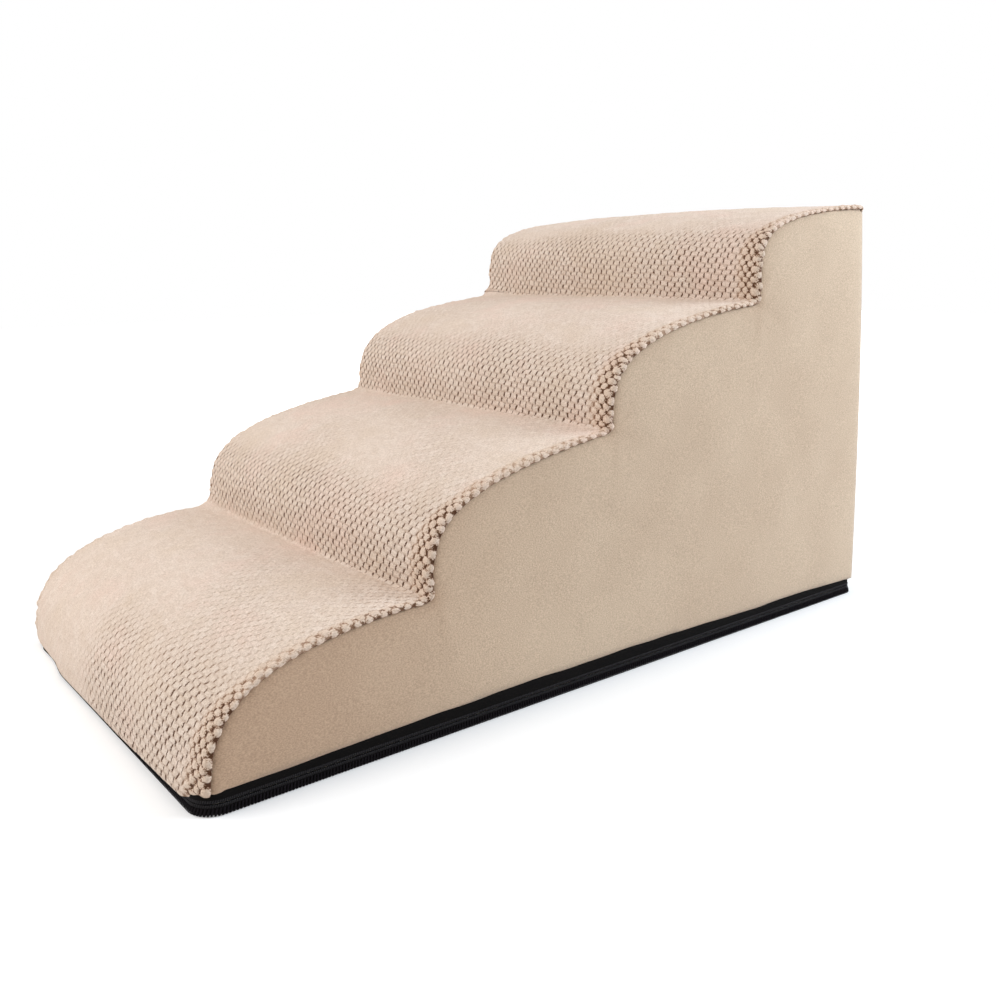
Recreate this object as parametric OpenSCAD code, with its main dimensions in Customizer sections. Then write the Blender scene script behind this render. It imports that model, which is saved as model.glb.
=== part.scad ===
// Foam pet stairs with four rounded steps in a zipped fabric cover.
// The front toe faces -Y, +Z is up, and the origin is on the floor under the middle.

/* [Cover] */
// Width across the two side panels
stair_w = 402; // [300:1:600]
// Thickness of the plush strip over the steps, backing and pellets together
strip_t = 3.5; // [2.5:0.1:6]
// Thickness of the side and back panels
panel_t = 2.2; // [1.6:0.1:4]
// Thickness of the grip fabric under the base
base_t = 2.4; // [1.6:0.1:4]
// Height of the side and back panels' lower hem above the floor
hem_z = 17.5; // [15:0.1:24]
// How far the base and the front zip reach forward of the side seams
base_lap = 4.5; // [3:0.1:6]

/* [Steps] */
// Rise of the first step's foam
rise_1 = 104.3; // [80:0.1:130]
// Rise of the second step's foam
rise_2 = 104.7; // [80:0.1:130]
// Rise of the third step's foam
rise_3 = 97.9; // [80:0.1:130]
// Rise of the top step's foam
rise_4 = 88.5; // [70:0.1:130]
// Going of the first step's foam, from its foot to the next crease
going_1 = 175.4; // [140:0.1:240]
// Going of the second step's foam
going_2 = 180.2; // [140:0.1:240]
// Going of the third step's foam
going_3 = 185.8; // [140:0.1:240]
// Going of the top step's foam, from its foot to the back edge
going_4 = 156.1; // [140:0.1:240]
// How far the back's foot stands behind its top edge
back_lean = 14.2; // [0:0.1:20]

/* [Rounding] */
// Squareness of the first nose, where 2 is round
nose_1 = 3.3; // [2:0.1:6]
// Squareness of the second nose
nose_2 = 4; // [2:0.1:6]
// Squareness of the third nose
nose_3 = 3.8; // [2:0.1:6]
// Squareness of the top nose
nose_4 = 5.9; // [2:0.1:7]
// Fall of the first tread, where 1 is a straight ramp and 2 is round
tread_1 = 2.2; // [1.1:0.1:2.5]
// Fall of the second tread
tread_2 = 1.1; // [1.1:0.1:2.5]
// Fall of the third tread
tread_3 = 1.3; // [1.1:0.1:2.5]
// Fall of the top tread
tread_4 = 1.5; // [1.1:0.1:2.5]
// How much higher each tread is along the middle than at its seams
crown = 4.5; // [0:0.5:8]
// How far each riser stands forward along the middle
riser_bulge = 6; // [0:0.5:10]
// How far the toe stands forward along the middle
toe_bulge = 8; // [0:0.5:12]

/* [Zip] */
// Length of the zip on the front, from the right corner to its start
zip_front = 160; // [80:1:220]
// Radius of the zip's front corner
front_corner = 18; // [14:0.5:30]
// Radius of the zip's two back corners
back_corner = 10; // [8:0.5:20]
// Thickness of the zip tapes
tape_t = 0.6; // [0.5:0.05:0.8]
// Height of one row of coil
coil_h = 2; // [1.6:0.1:2.4]
// Thickness of the coil
coil_t = 2; // [1.6:0.1:2.4]
// Height of the chain's middle above the floor
chain_z = 8.35; // [7.8:0.05:8.8]
// Gap between the two rows of coil
coil_gap = 1; // [0.9:0.05:1.3]
// Length of the zip stops
stop_l = 3; // [2:0.1:4]

/* [Slider] */
// Length of the slider
slider_l = 12.4; // [11.5:0.1:14]
// Thickness of each of the slider's two plates
plate_t = 1.1; // [0.9:0.05:1.3]
// Thickness of the rails that close round the coil
rail_t = 1.1; // [0.9:0.05:1.3]
// Width of the slider's crown
crown_w = 3.2; // [2.6:0.1:3.6]
// Height of the crown above the outer plate
crown_h = 2.6; // [2.5:0.05:3]
// Thickness of the crown's sheet metal
crown_t = 0.7; // [0.5:0.05:0.8]
// Thickness of the puller and of its crossbar
puller_t = 1.5; // [1.2:0.05:1.5]
// Length of the puller, from its crossbar to its end
puller_l = 30; // [22:0.5:40]
// Width of the puller's blade
puller_w = 8.6; // [8.2:0.1:10]
// Radius of the hole in the puller's end
puller_hole_r = 1.9; // [1:0.1:2.4]

/* [Hidden] */

// Clearances
fit = 0.3;          // between pieces that lie against each other
run = 0.2;          // round the pieces that slide or swing
overrun = 1;        // how far a cut runs past its solid

// Colours
plush_c = [0.86, 0.76, 0.68];
suede_c = [0.80, 0.71, 0.61];
foam_c = [0.93, 0.90, 0.80];
black_c = [0.07, 0.07, 0.07];
metal_c = [0.16, 0.16, 0.17];

// The steps, from the toe to the top
rises = [rise_1, rise_2, rise_3, rise_4];
goings = [going_1, going_2, going_3, going_4];
noses = [nose_1, nose_2, nose_3, nose_4];
treads = [tread_1, tread_2, tread_3, tread_4];
bulges = [toe_bulge, riser_bulge, riser_bulge, riser_bulge, 0];
skin = strip_t + fit;
foam_z = base_t + fit;
foam_w = stair_w - 2 * (panel_t + fit);
last = len(rises) - 1;
function sum_to(v, n) = n == 0 ? 0 : v[n - 1] + sum_to(v, n - 1);
function foot_y(i) = skin + sum_to(goings, i);
function foot_z(i) = foam_z + sum_to(rises, i);
top_z = foot_z(last + 1);
back_y = foot_y(last + 1) + back_lean;
back_curve = 2.5;           // 1 is a straight back, and more keeps its foot upright
function back_at(z) =
    back_y - back_lean * pow(max(0, z - foam_z) / (top_z - foam_z), back_curve);

// The crown across the width: 1 along the middle and 0 at the side seams
crown_power = 2.4;
function across(x) = 1 - pow(min(1, abs(2 * x / stair_w)), crown_power);

// One step's front: a superellipse from its foot, up the riser, over the nose and along the tread
arc_steps = 10;
toe_tuck_share = 0.2;
toe_foot_share = 0.5;
crown_shape = 0.7;
function toe_share(v) = toe_foot_share + (1 - toe_foot_share) * min(1, v / toe_tuck_share);
function forward(i, u, v) =
    (bulges[i] * (1 - u) + bulges[i + 1] * u) * (i == 0 ? toe_share(v) : 1);
function step_point(i, a, x) =
    let (u = 1 - pow(cos(a), 2 / treads[i]), v = pow(sin(a), 2 / noses[i]))
    [foot_y(i) + goings[i] * u - forward(i, u, v) * across(x),
     foot_z(i) + rises[i] * v + crown * pow(sin(180 * u), crown_shape) * across(x)];
// The points lie closer where the curve turns more
function bend(i, t) = let (a = pow(t, noses[i] / 2), b = pow(1 - t, treads[i] / 2)) 90 * a / (a + b);
function step_curve(i, x) = [for (k = [0 : arc_steps]) step_point(i, bend(i, k / arc_steps), x)];
function on_riser(a, b, z) = a + (b - a) * (z - a[1]) / (b[1] - a[1]);
function from(v, first) = [for (k = [first : len(v) - 1]) v[k]];
// The toe's foot is straight up to its second point, where the bulge is whole
function above_foot(i, x) = from(step_curve(i, x), i == 0 ? 2 : 1);

// The whole stepped line at one place across the width, from the foot to the top's back edge
function stepped_line(x) =
    concat([step_point(0, 0, x)], [for (i = [0 : last]) each above_foot(i, x)]);

// The place of a line's corner when the line moves out by d, to the left of its run
function left_of(a, b) = let (l = norm(b - a)) [a[1] - b[1], b[0] - a[0]] / l;
function mitre(n, m) = (n + m) / (1 + n * m);
function moved_out(p, d) = let (n = len(p) - 1)
    [for (k = [0 : n]) p[k] + d * (
        k == 0 ? left_of(p[0], p[1]) :
        k == n ? left_of(p[n - 1], p[n]) :
        mitre(left_of(p[k - 1], p[k]), left_of(p[k], p[k + 1])))];
function reversed(v) = [for (k = [len(v) - 1 : -1 : 0]) v[k]];

// Places across the width, with two where the strip's hem rises to pass over the zip's start
half_w = stair_w / 2;
zip_x = half_w - zip_front;
tape_tail = 5;                              // tape past the stops
hem_end = zip_x - tape_tail - 2 * fit;
hem_turn = 8;
left_shares = [-0.93, -0.8, -0.6, -0.35, -0.1];
right_shares = [0.4, 0.6, 0.8, 0.93];
function stations(end) = concat([-end], left_shares * half_w, [hem_end - hem_turn, hem_end],
    right_shares * half_w, [end]);

// The triangles of a solid whose closed rings stand one behind the other along X. From point
// turn on, a ring runs back along its line, and each four-sided patch is halved the other way,
// so that two surfaces with one line between them stay apart
function ring_sides(rings, n, turn) = [for (j = [0 : rings - 2]) for (k = [0 : n - 1])
    let (a = j * n + k, b = j * n + (k + 1) % n)
    each k < turn ? [[a, b, a + n], [b, b + n, a + n]] : [[a, b, b + n], [a, b + n, a + n]]];
function fan(first, n, near) = [for (k = [1 : n - 2])
    near ? [first, first + k + 1, first + k] : [first, first + k, first + k + 1]];
function at_x(x, ring) = [for (p = ring) [x, p[0], p[1]]];

// Everything is drawn with y from the foot of the side seams, then centred
base_front = -base_lap;
base_back = back_at(hem_z) + fit + panel_t;
base_edge = 0.5;                            // base fabric past the cover's sides
module placed() { translate([0, (toe_bulge - base_back) / 2, 0]) children(); }

// The back's points between two heights, from the lower up
back_steps = 2;
function back_line(low, high) = [for (k = [0 : back_steps])
    let (z = low + (high - low) * k / back_steps) [back_at(z), z]];

// Glued foam slabs. The first has its front lower edge cut back, so that it clears the zip's
// lower row when the base opens
foam_cut = 5;
function slab_ring(i, x) = let (foot = step_point(i, 0, x))
    concat(i == 0 ? [foot + [foam_cut, 0], foot + [0, foam_cut]] : [foot], above_foot(i, x),
        reversed(back_line(foot_z(i), foot_z(i + 1))));
module foam_slab(i) {
    xs = stations(foam_w / 2);
    n = len(slab_ring(i, 0));
    polyhedron([for (x = xs) each at_x(x, slab_ring(i, x))],
        concat(ring_sides(len(xs), n, n), fan(0, n, true), fan((len(xs) - 1) * n, n, false)));
}

// The first slab's lower corners are rounded where the zip turns, and its lower side edges
// are set in where the slider's inner plate runs
module corner_relief(r, turn) {
    inner = r - coil_t / 2 - 2 * fit;
    rotate([0, 0, turn]) translate([0, 0, -overrun]) linear_extrude(hem_z + fit + overrun)
        difference() {
            square(r + coil_t);
            circle(r = inner, $fn = 48);
        }
}
module side_relief() {
    inner = zip_side - face_x - fit;
    translate([inner, base_front - overrun, 0])
        cube([foam_w / 2 - inner + overrun, back_y - base_front + 2 * overrun, hem_z + fit]);
}
module foam_base_slab() {
    color(foam_c) placed() difference() {
        foam_slab(0);
        side_relief();
        mirror([1, 0, 0]) side_relief();
        translate([zip_side - front_corner, zip_toe + front_corner, 0])
            corner_relief(front_corner, -90);
        translate([zip_side - back_corner, zip_back - back_corner, 0])
            corner_relief(back_corner, 0);
        translate([-zip_side + back_corner, zip_back - back_corner, 0])
            corner_relief(back_corner, 90);
    }
}
module foam_second_slab() { color(foam_c) placed() foam_slab(1); }
module foam_third_slab() { color(foam_c) placed() foam_slab(2); }
module foam_top_slab() { color(foam_c) placed() foam_slab(3); }

// The plush strip follows the steps. It comes down to the base where it is sewn to it,
// and stops above the upper tape where the zip runs under it
hem_rise = 7;
function strip_hem(x) = fit + (x < hem_end - hem_turn / 2 ? foam_z : hem_z);
function strip_line(x) = let (p = stepped_line(x), n = len(p) - 1)
    concat([on_riser(p[0], p[1], strip_hem(x)), on_riser(p[0], p[1], hem_z + hem_rise)],
        from(p, 1), [p[n] + [fit + panel_t, 0]]);
function strip_ring(x) = concat(moved_out(strip_line(x), fit + strip_t),
    reversed(moved_out(strip_line(x), fit)));
function strip_cap(first, n, near) = [for (k = [0 : n / 2 - 2])
    let (a = first + k, b = first + n - 1 - k)
    each near ? [[a, b, a + 1], [a + 1, b, b - 1]] : [[a, a + 1, b], [a + 1, b - 1, b]]];
module plush_step_strip() {
    xs = stations(half_w);
    n = len(strip_ring(0));
    color(plush_c) placed()
        polyhedron([for (x = xs) each at_x(x, strip_ring(x))],
            concat(ring_sides(len(xs), n, n / 2), strip_cap(0, n, true),
                strip_cap((len(xs) - 1) * n, n, false)));
}

// The back's line from the top to the side and back panels' hem
panel_back = concat(
    [for (i = [last : -1 : 1]) each reversed(from(back_line(foot_z(i), foot_z(i + 1)), 1))],
    reversed(back_line(hem_z, foot_z(1))));

// Flat side panels, cut to the stepped line and hemmed above the zip
module side_panel(inner_x) {
    line = stepped_line(half_w);
    outline = concat([on_riser(line[0], line[1], hem_z)], from(line, 1), from(panel_back, 1));
    color(suede_c) placed() translate([inner_x, 0, 0]) rotate([90, 0, 90])
        linear_extrude(panel_t) polygon(outline);
}
module right_side_panel() { side_panel(foam_w / 2 + fit); }
module left_side_panel() { side_panel(-foam_w / 2 - fit - panel_t); }

// The back panel covers the side panels' back edges
module back_panel() {
    outline = concat([for (p = panel_back) p + [fit, 0]],
        [for (p = reversed(panel_back)) p + [fit + panel_t, 0]]);
    color(suede_c) placed() translate([-half_w, 0, 0]) rotate([90, 0, 90])
        linear_extrude(stair_w) polygon(outline);
}

// Plans of the base and the zip. An arc runs from angle a to angle b about its centre
corner_steps = 6;
function arc(c, r, a, b) = [for (k = [0 : corner_steps])
    let (t = a + (b - a) * k / corner_steps) c + r * [cos(t), sin(t)]];
base_r = front_corner + tape_t;
module base_panel() {
    x = half_w + base_edge;
    color(black_c) placed() linear_extrude(base_t) polygon(concat(
        arc([x - base_r, base_front + base_r], base_r, -90, 0),
        arc([x - back_corner, base_back - back_corner], back_corner, 0, 90),
        arc([-x + back_corner, base_back - back_corner], back_corner, 90, 180),
        arc([-x + base_r, base_front + base_r], base_r, 180, 270)));
}

// The zip runs from the front, round the right, back and left sides
zip_side = half_w - tape_t;                 // middle of the tape, from the centre line
zip_toe = base_front + base_edge + tape_t;  // middle of the tape on the front
zip_back = base_back - coil_t / 2;
slider_rest = 36;                           // middle of the parked slider, from the front edge
left_end = slider_rest - slider_l / 2 - stop_l - fit;
function zip_line(d, start, end) = concat([[start, zip_toe - d]],
    arc([zip_side - front_corner, zip_toe + front_corner], front_corner + d, -90, 0),
    arc([zip_side - back_corner, zip_back - back_corner], back_corner + d, 0, 90),
    arc([-zip_side + back_corner, zip_back - back_corner], back_corner + d, 90, 180),
    [[-zip_side - d, end]]);
module zip_band(t, start, end, low, high) {
    translate([0, 0, low]) linear_extrude(high - low)
        polygon(concat(zip_line(t / 2, start, end), reversed(zip_line(-t / 2, start, end))));
}
lower_coil_z = chain_z - coil_gap / 2 - coil_h;
upper_coil_z = chain_z + coil_gap / 2;
module lower_zip_tape() {
    color(black_c) placed()
        zip_band(tape_t, zip_x - tape_tail, left_end - tape_tail, base_t, lower_coil_z);
}
module upper_zip_tape() {
    color(black_c) placed()
        zip_band(tape_t, zip_x - tape_tail, left_end - tape_tail, upper_coil_z + coil_h, hem_z);
}

// A row of coil, narrower where it meets its tape and at its teeth
coil_edge_share = 0.25;
coil_waist_share = 0.7;
module coil_row(low, end) {
    edge = coil_edge_share * coil_h;
    start = zip_x + stop_l;
    color(black_c) placed() {
        zip_band(coil_waist_share * coil_t, start, end, low, low + edge);
        zip_band(coil_t, start, end, low + edge, low + coil_h - edge);
        zip_band(coil_waist_share * coil_t, start, end, low + coil_h - edge, low + coil_h);
    }
}
module lower_zip_coil() { coil_row(lower_coil_z, slider_rest + slider_l / 2 + fit); }
module upper_zip_coil() { coil_row(upper_coil_z, left_end + stop_l); }

// Stops: one block starts the zip, and one clip ends each row beside the parked slider
module zip_start_stop() {
    color(metal_c) placed()
        translate([zip_x, zip_toe - coil_t / 2, lower_coil_z]) cube([stop_l, coil_t, coil_h]);
}
module end_stop(low) {
    color(metal_c) placed()
        translate([-zip_side - coil_t / 2, left_end, low]) cube([coil_t, stop_l, coil_h]);
}
module lower_end_stop() { end_stop(lower_coil_z); }
module upper_end_stop() { end_stop(upper_coil_z); }

// The slider's own frame: x points out of the cover, y runs along the chain with the head
// at its low end, and z runs across the chain
module at_slider() {
    placed() translate([-zip_side, slider_rest, chain_z]) mirror([1, 0, 0]) children();
}
module across_z(low, high) { translate([0, 0, low]) linear_extrude(high - low) children(); }
module across_x(low, high) {
    translate([low, 0, 0]) rotate([90, 0, 90]) linear_extrude(high - low) children();
}
chain_half = coil_gap / 2 + coil_h;
plate_x = coil_t / 2 + run;                 // inner face of each plate
face_x = plate_x + plate_t;                 // outer face of the outer plate
rail_z = chain_half + run;                  // inner face of each rail
tail_half = rail_z + rail_t;
head_half = tail_half + 0.25 * rail_t;
head_y = -slider_l / 2;
tail_y = slider_l / 2;
tail_r = rail_t;
head_r = 2 * rail_t;
post_half = coil_gap / 2 - run;
post_l = slider_l / 4;
throat_y = head_y + slider_l / 3;
pin_y = -slider_l / 8;
pin_w = 0.5;
module plate_outline() {
    polygon(concat(
        arc([tail_y - tail_r, tail_half - tail_r], tail_r, 0, 90),
        arc([head_y + head_r, head_half - head_r], head_r, 90, 180),
        arc([head_y + head_r, -head_half + head_r], head_r, 180, 270),
        arc([tail_y - tail_r, -tail_half + tail_r], tail_r, 270, 360)));
}
module slider_body() {
    slot = tape_t / 2 + run;
    color(metal_c) at_slider() difference() {
        union() {
            for (side = [-1, 1]) {
                across_x(side > 0 ? plate_x : -face_x, side > 0 ? face_x : -plate_x) plate_outline();
                for (edge = [-1, 1])
                    across_x(side > 0 ? slot : -plate_x, side > 0 ? plate_x : -slot)
                        translate([throat_y, edge > 0 ? rail_z : -tail_half])
                            square([tail_y - tail_r - throat_y, rail_t]);
            }
            across_x(-plate_x, plate_x)
                polygon([[head_y + run, 0], [head_y + post_l / 2, post_half],
                    [head_y + post_l, 0], [head_y + post_l / 2, -post_half]]);
        }
        translate([plate_x - overrun, pin_y, 0]) rotate([0, 90, 0])
            cylinder(h = plate_t + 2 * overrun, r = pin_w, $fn = 24);
    }
}

// The crown is an arch of sheet metal on the outer plate, with the puller's bar under it
crown_head = head_y + slider_l / 10;
crown_tail = tail_y - slider_l / 8;
crown_top = face_x + crown_h;
crown_slope = crown_h / 2;
module slider_crown() {
    color(metal_c) at_slider() across_z(-crown_w / 2, crown_w / 2) difference() {
        polygon([[face_x, crown_head], [crown_top - crown_slope, crown_head],
            [crown_top, crown_head + crown_slope], [crown_top, crown_tail - crown_slope],
            [crown_top - crown_slope, crown_tail], [face_x, crown_tail]]);
        polygon([[face_x - overrun, crown_head + crown_t],
            [crown_top - crown_slope, crown_head + crown_t],
            [crown_top - crown_t, crown_head + crown_slope],
            [crown_top - crown_t, crown_tail - crown_slope],
            [crown_top - crown_slope, crown_tail - crown_t],
            [face_x - overrun, crown_tail - crown_t]]);
    }
}

// The lock leaf is a sprung strip under the crown whose pin drops between the rows of coil
leaf_t = 0.25;
leaf_w = crown_w / 2;
module slider_lock_leaf() {
    root_y = crown_head + crown_t;
    mid_x = face_x + crown_h / 3;
    color(metal_c) at_slider() {
        across_z(-leaf_w / 2, leaf_w / 2) polygon([
            [face_x, root_y], [mid_x, root_y], [mid_x, pin_y + pin_w / 2],
            [mid_x - leaf_t, pin_y + pin_w / 2], [mid_x - leaf_t, root_y + leaf_t],
            [face_x, root_y + leaf_t]]);
        across_z(-pin_w / 2, pin_w / 2) polygon([
            [0, pin_y], [mid_x - leaf_t, pin_y - pin_w / 2],
            [mid_x - leaf_t, pin_y + pin_w / 2]]);
    }
}

// The puller swings on its crossbar, which is held under the crown's tail
bar_r = puller_t / 2;
bar_x = face_x + run + bar_r;
bar_y = crown_tail - crown_t - run - bar_r;
arm_in = crown_w / 2 + fit;
arm_reach = bar_y - crown_head + 2 * fit;
blade_r = puller_w / 2;
module puller_flat() {
    difference() {
        union() {
            translate([0, -blade_r]) square([puller_l - blade_r, puller_w]);
            translate([puller_l - blade_r, 0]) circle(r = blade_r, $fn = 48);
        }
        translate([-overrun, -arm_in]) square([arm_reach + overrun, 2 * arm_in]);
        translate([puller_l - blade_r, 0]) circle(r = puller_hole_r, $fn = 32);
    }
}
module zip_puller() {
    color(metal_c) at_slider() translate([bar_x, bar_y, 0]) {
        across_x(-bar_r, bar_r) puller_flat();
        cylinder(h = puller_w, r = bar_r, center = true, $fn = 32);
    }
}

base_panel();
lower_zip_tape();
lower_zip_coil();
zip_start_stop();
lower_end_stop();
foam_base_slab();
foam_second_slab();
foam_third_slab();
foam_top_slab();
plush_step_strip();
right_side_panel();
left_side_panel();
back_panel();
upper_zip_tape();
upper_zip_coil();
upper_end_stop();
slider_body();
slider_crown();
slider_lock_leaf();
zip_puller();
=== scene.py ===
"""Foam pet stairs with four rounded steps, dressed for rendering.

Sizes are in millimetres, as in the part's source, and become metres when a mesh is made.
"""
import math

import bpy
import numpy as np
from mathutils import Matrix, Vector
from mathutils.geometry import delaunay_2d_cdt


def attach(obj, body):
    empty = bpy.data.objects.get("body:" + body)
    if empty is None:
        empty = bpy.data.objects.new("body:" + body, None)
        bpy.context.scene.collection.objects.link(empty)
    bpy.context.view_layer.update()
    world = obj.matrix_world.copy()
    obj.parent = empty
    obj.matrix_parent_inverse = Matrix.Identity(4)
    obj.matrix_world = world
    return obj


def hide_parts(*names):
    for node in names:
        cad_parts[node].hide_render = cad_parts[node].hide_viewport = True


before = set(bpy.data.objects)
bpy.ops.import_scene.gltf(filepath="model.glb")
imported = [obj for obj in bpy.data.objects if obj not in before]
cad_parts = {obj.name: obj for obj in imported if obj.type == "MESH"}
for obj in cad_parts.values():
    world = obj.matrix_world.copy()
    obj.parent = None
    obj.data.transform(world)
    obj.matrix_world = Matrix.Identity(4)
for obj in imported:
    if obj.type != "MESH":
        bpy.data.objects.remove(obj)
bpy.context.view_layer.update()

MM = 0.001

# ---------------------------------------------------------------- the part's own sizes
STAIR_W = 402.0                             # across the two side panels
HALF_W = STAIR_W / 2
STRIP_T = 3.5                               # plush strip, backing and pellets together
PANEL_T = 2.2                               # side and back panels
BASE_T = 2.4                                # grip cloth under the base
FIT = 0.3                                   # between pieces that lie against each other
HEM_Z = 17.5                                # height of the panels' lower hem
RISES = [104.3, 104.7, 97.9, 88.5]          # of each step's foam, from the toe up
GOINGS = [175.4, 180.2, 185.8, 156.1]
NOSES = [3.3, 4.0, 3.8, 5.9]                # squareness of each nose, where 2 is round
TREADS = [2.2, 1.1, 1.3, 1.5]               # fall of each tread, where 1 is a straight ramp
BACK_LEAN = 14.2                            # how far the back's foot stands behind its top
BACK_CURVE = 2.5                            # 1 is a straight back
CROWN = 4.5                                 # rise of each tread's middle over its seams
CROWN_POWER = 2.4                           # how flat the crown is across the width
CROWN_SHAPE = 0.7                           # and along the tread
TOE_BULGE = 8.0                             # how far the toe stands forward in the middle
RISER_BULGE = 6.0
BULGES = [TOE_BULGE, RISER_BULGE, RISER_BULGE, RISER_BULGE, 0.0]
TOE_TUCK_SHARE = 0.2                        # share of the toe's height that draws in below
TOE_FOOT_SHARE = 0.5                        # share of its bulge that is left at the foot
BASE_LAP = 4.5                              # base and front zip, forward of the side seams
BASE_EDGE = 0.5                             # base cloth past the cover's sides
ZIP_FRONT = 160.0                           # length of the zip on the front
FRONT_CORNER = 18.0                         # radii of the zip's corners
BACK_CORNER = 10.0
TAPE_T = 0.6
COIL_T = 2.0
CHAIN_Z = 8.35                              # height between the two rows of coil
STOP_L = 3.0
SLIDER_L = 12.4
SLIDER_REST = 36.0                          # where the slider parks on the left side
FOAM_CUT = 5.0                              # chamfer of the foam behind the front zip

SKIN = STRIP_T + FIT
FOAM_Z = BASE_T + FIT
FOAM_W = STAIR_W - 2 * (PANEL_T + FIT)
FOOT_Y = [SKIN + sum(GOINGS[:i]) for i in range(5)]
FOOT_Z = [FOAM_Z + sum(RISES[:i]) for i in range(5)]
TOP_Z = FOOT_Z[4]
BACK_Y = FOOT_Y[4] + BACK_LEAN
BASE_BACK = BACK_Y + FIT + PANEL_T
SHIFT_Y = (TOE_BULGE - BASE_BACK) / 2       # from the seam's foot to the part's middle
ZIP_X = HALF_W - ZIP_FRONT
ZIP_SIDE = HALF_W - TAPE_T
ZIP_TOE = -BASE_LAP + BASE_EDGE + TAPE_T
ZIP_BACK = BASE_BACK - COIL_T / 2


def back_at(z):
    """Where the foam's back edge is at a height."""
    share = np.clip((np.asarray(z, float) - FOAM_Z) / (TOP_Z - FOAM_Z), 0, 1)
    return BACK_Y - BACK_LEAN * share ** BACK_CURVE


# ---------------------------------------------------------------- curves and waves
def smooth_step(t):
    """0 to 1, level at both ends."""
    t = np.clip(t, 0, 1)
    return t * t * (3 - 2 * t)


def eased(value, start, width):
    """0 up to a start, then smoothly up to 1 over a width."""
    return smooth_step((value - start) / width)


def waves(places, sizes, seed, count=5):
    """Soft random waves of about unit height over places of any dimension."""
    draw = np.random.default_rng(seed)
    places = np.asarray(places, float)
    total = np.zeros(places.shape[:-1])
    for _ in range(count):
        way = draw.normal(size=places.shape[-1])
        way /= np.linalg.norm(way)
        length = draw.uniform(*sizes)
        total += np.sin(2 * np.pi * (places @ way) / length + draw.uniform(0, 2 * np.pi))
    return total / math.sqrt(count)


def lengths_along(line):
    """How far along a line of points each of them is."""
    return np.concatenate([[0], np.cumsum(np.linalg.norm(np.diff(line, axis=0), axis=1))])


def points_at(line, run, at):
    """The points of a line in plan at given lengths along it."""
    return np.stack([np.interp(at, run, line[:, k]) for k in (0, 1)], -1)


def arc(cx, cy, r, a, b, count):
    """Points of an arc about (cx, cy), from a to b in degrees."""
    t = np.radians(np.linspace(a, b, count))
    return np.stack([cx + r * np.cos(t), cy + r * np.sin(t)], -1)


# ---------------------------------------------------------------- meshes
CUSHION = ("plush", "suede", "foam")        # slots of the soft pieces that lean together
LEFT_LEAN = 6.0                             # how far their left side stands in above the zip
LEAN_FOOT, LEAN_RISE = 20, 60               # height where it starts, and over which it grows


def leaned(points):
    """The cushion's points with its left side leaning in a little."""
    share = LEFT_LEAN / HALF_W * eased(points[:, 2], LEAN_FOOT, LEAN_RISE)
    points[:, 0] *= np.where(points[:, 0] < 0, 1 - share, 1)
    return points


def piece(name, points, faces, body, slot, material, replaces=(), smooth=True):
    """A mesh object from points in millimetres, with y from the seam's foot."""
    points = np.array(points, float).reshape(-1, 3)
    if slot in CUSHION:
        points = leaned(points)
    points = points + (0.0, SHIFT_Y, 0.0)
    mesh = bpy.data.meshes.new(name)
    mesh.from_pydata((points * MM).tolist(), [], [tuple(int(k) for k in f) for f in faces])
    mesh.validate()
    mesh.polygons.foreach_set("use_smooth", [smooth] * len(mesh.polygons))
    made = bpy.data.objects.new(name, mesh)
    bpy.context.scene.collection.objects.link(made)
    made.data.materials.append(material)
    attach(made, body)
    if replaces:
        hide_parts(*replaces)
    return made


def point_value(made, name, values, kind="FLOAT"):
    """Stores a value at each of the piece's points for its material."""
    attribute = made.data.attributes.new(name, kind, "POINT")
    field = "vector" if kind == "FLOAT_VECTOR" else "value"
    attribute.data.foreach_set(field, np.asarray(values, np.float32).ravel())


def turned(faces):
    """The same faces looking the other way."""
    return [f[::-1] for f in faces]


def renumbered(faces, start):
    """The same faces for points that are numbered from a start."""
    return [tuple(k + start for k in f) for f in faces]


def swept_faces(rings, around, start=0, ends=True):
    """Faces that join rings of points one after another, with both ends closed or open."""
    faces = [(start + j * around + k, start + j * around + (k + 1) % around,
              start + (j + 1) * around + (k + 1) % around, start + (j + 1) * around + k)
             for j in range(rings - 1) for k in range(around)]
    if ends:
        last = start + (rings - 1) * around
        faces += [tuple(range(start, start + around))[::-1], tuple(range(last, last + around))]
    return faces


# ---------------------------------------------------------------- the stepped line
MEASURED_X = 0.55 * HALF_W      # the column at which lengths along the steps are taken
STEP_POINTS = 90                # points of each step's curve, and of each crease's fillet
CREASE_POINTS = 8
FINE_POINTS = 2001              # points among which a curve's cut for its fillet is found
CURVE_END = 1e-4                # a step's curve stops just short of its two ends
FILLET_REACH = 0.6              # pull of a fillet's ends along their own runs
LIP_Y = -6.4                    # how far forward the plush hangs over the front zip
LIP_FROM, LIP_FROM_W = -142, 50     # where across the front that begins, and how gradually
LIP_TO, LIP_TO_W = 176, 18          # and where it ends
LIP_UP, LIP_UP_W = 11, 26           # up to which height, and how gradually it goes back


def across(x):
    """The crown across the width: 1 along the middle and 0 at the side seams."""
    return 1 - np.minimum(1, np.abs(2 * np.asarray(x, float) / STAIR_W)) ** CROWN_POWER


def step_point(i, angle, x):
    """A point of one step's foam: x is an array of columns, angle an array of rows."""
    u = 1 - np.cos(angle) ** (2 / TREADS[i])
    v = np.sin(angle) ** (2 / NOSES[i])
    forward = BULGES[i] * (1 - u) + BULGES[i + 1] * u
    if i == 0:
        tuck = smooth_step(v / TOE_TUCK_SHARE)
        forward = forward * (TOE_FOOT_SHARE + (1 - TOE_FOOT_SHARE) * tuck)
    middle = across(x)[:, None]
    y = FOOT_Y[i] + GOINGS[i] * u - forward * middle
    z = FOOT_Z[i] + RISES[i] * v + CROWN * np.sin(np.pi * u) ** CROWN_SHAPE * middle
    return np.stack(np.broadcast_arrays(y, z), -1)


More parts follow.
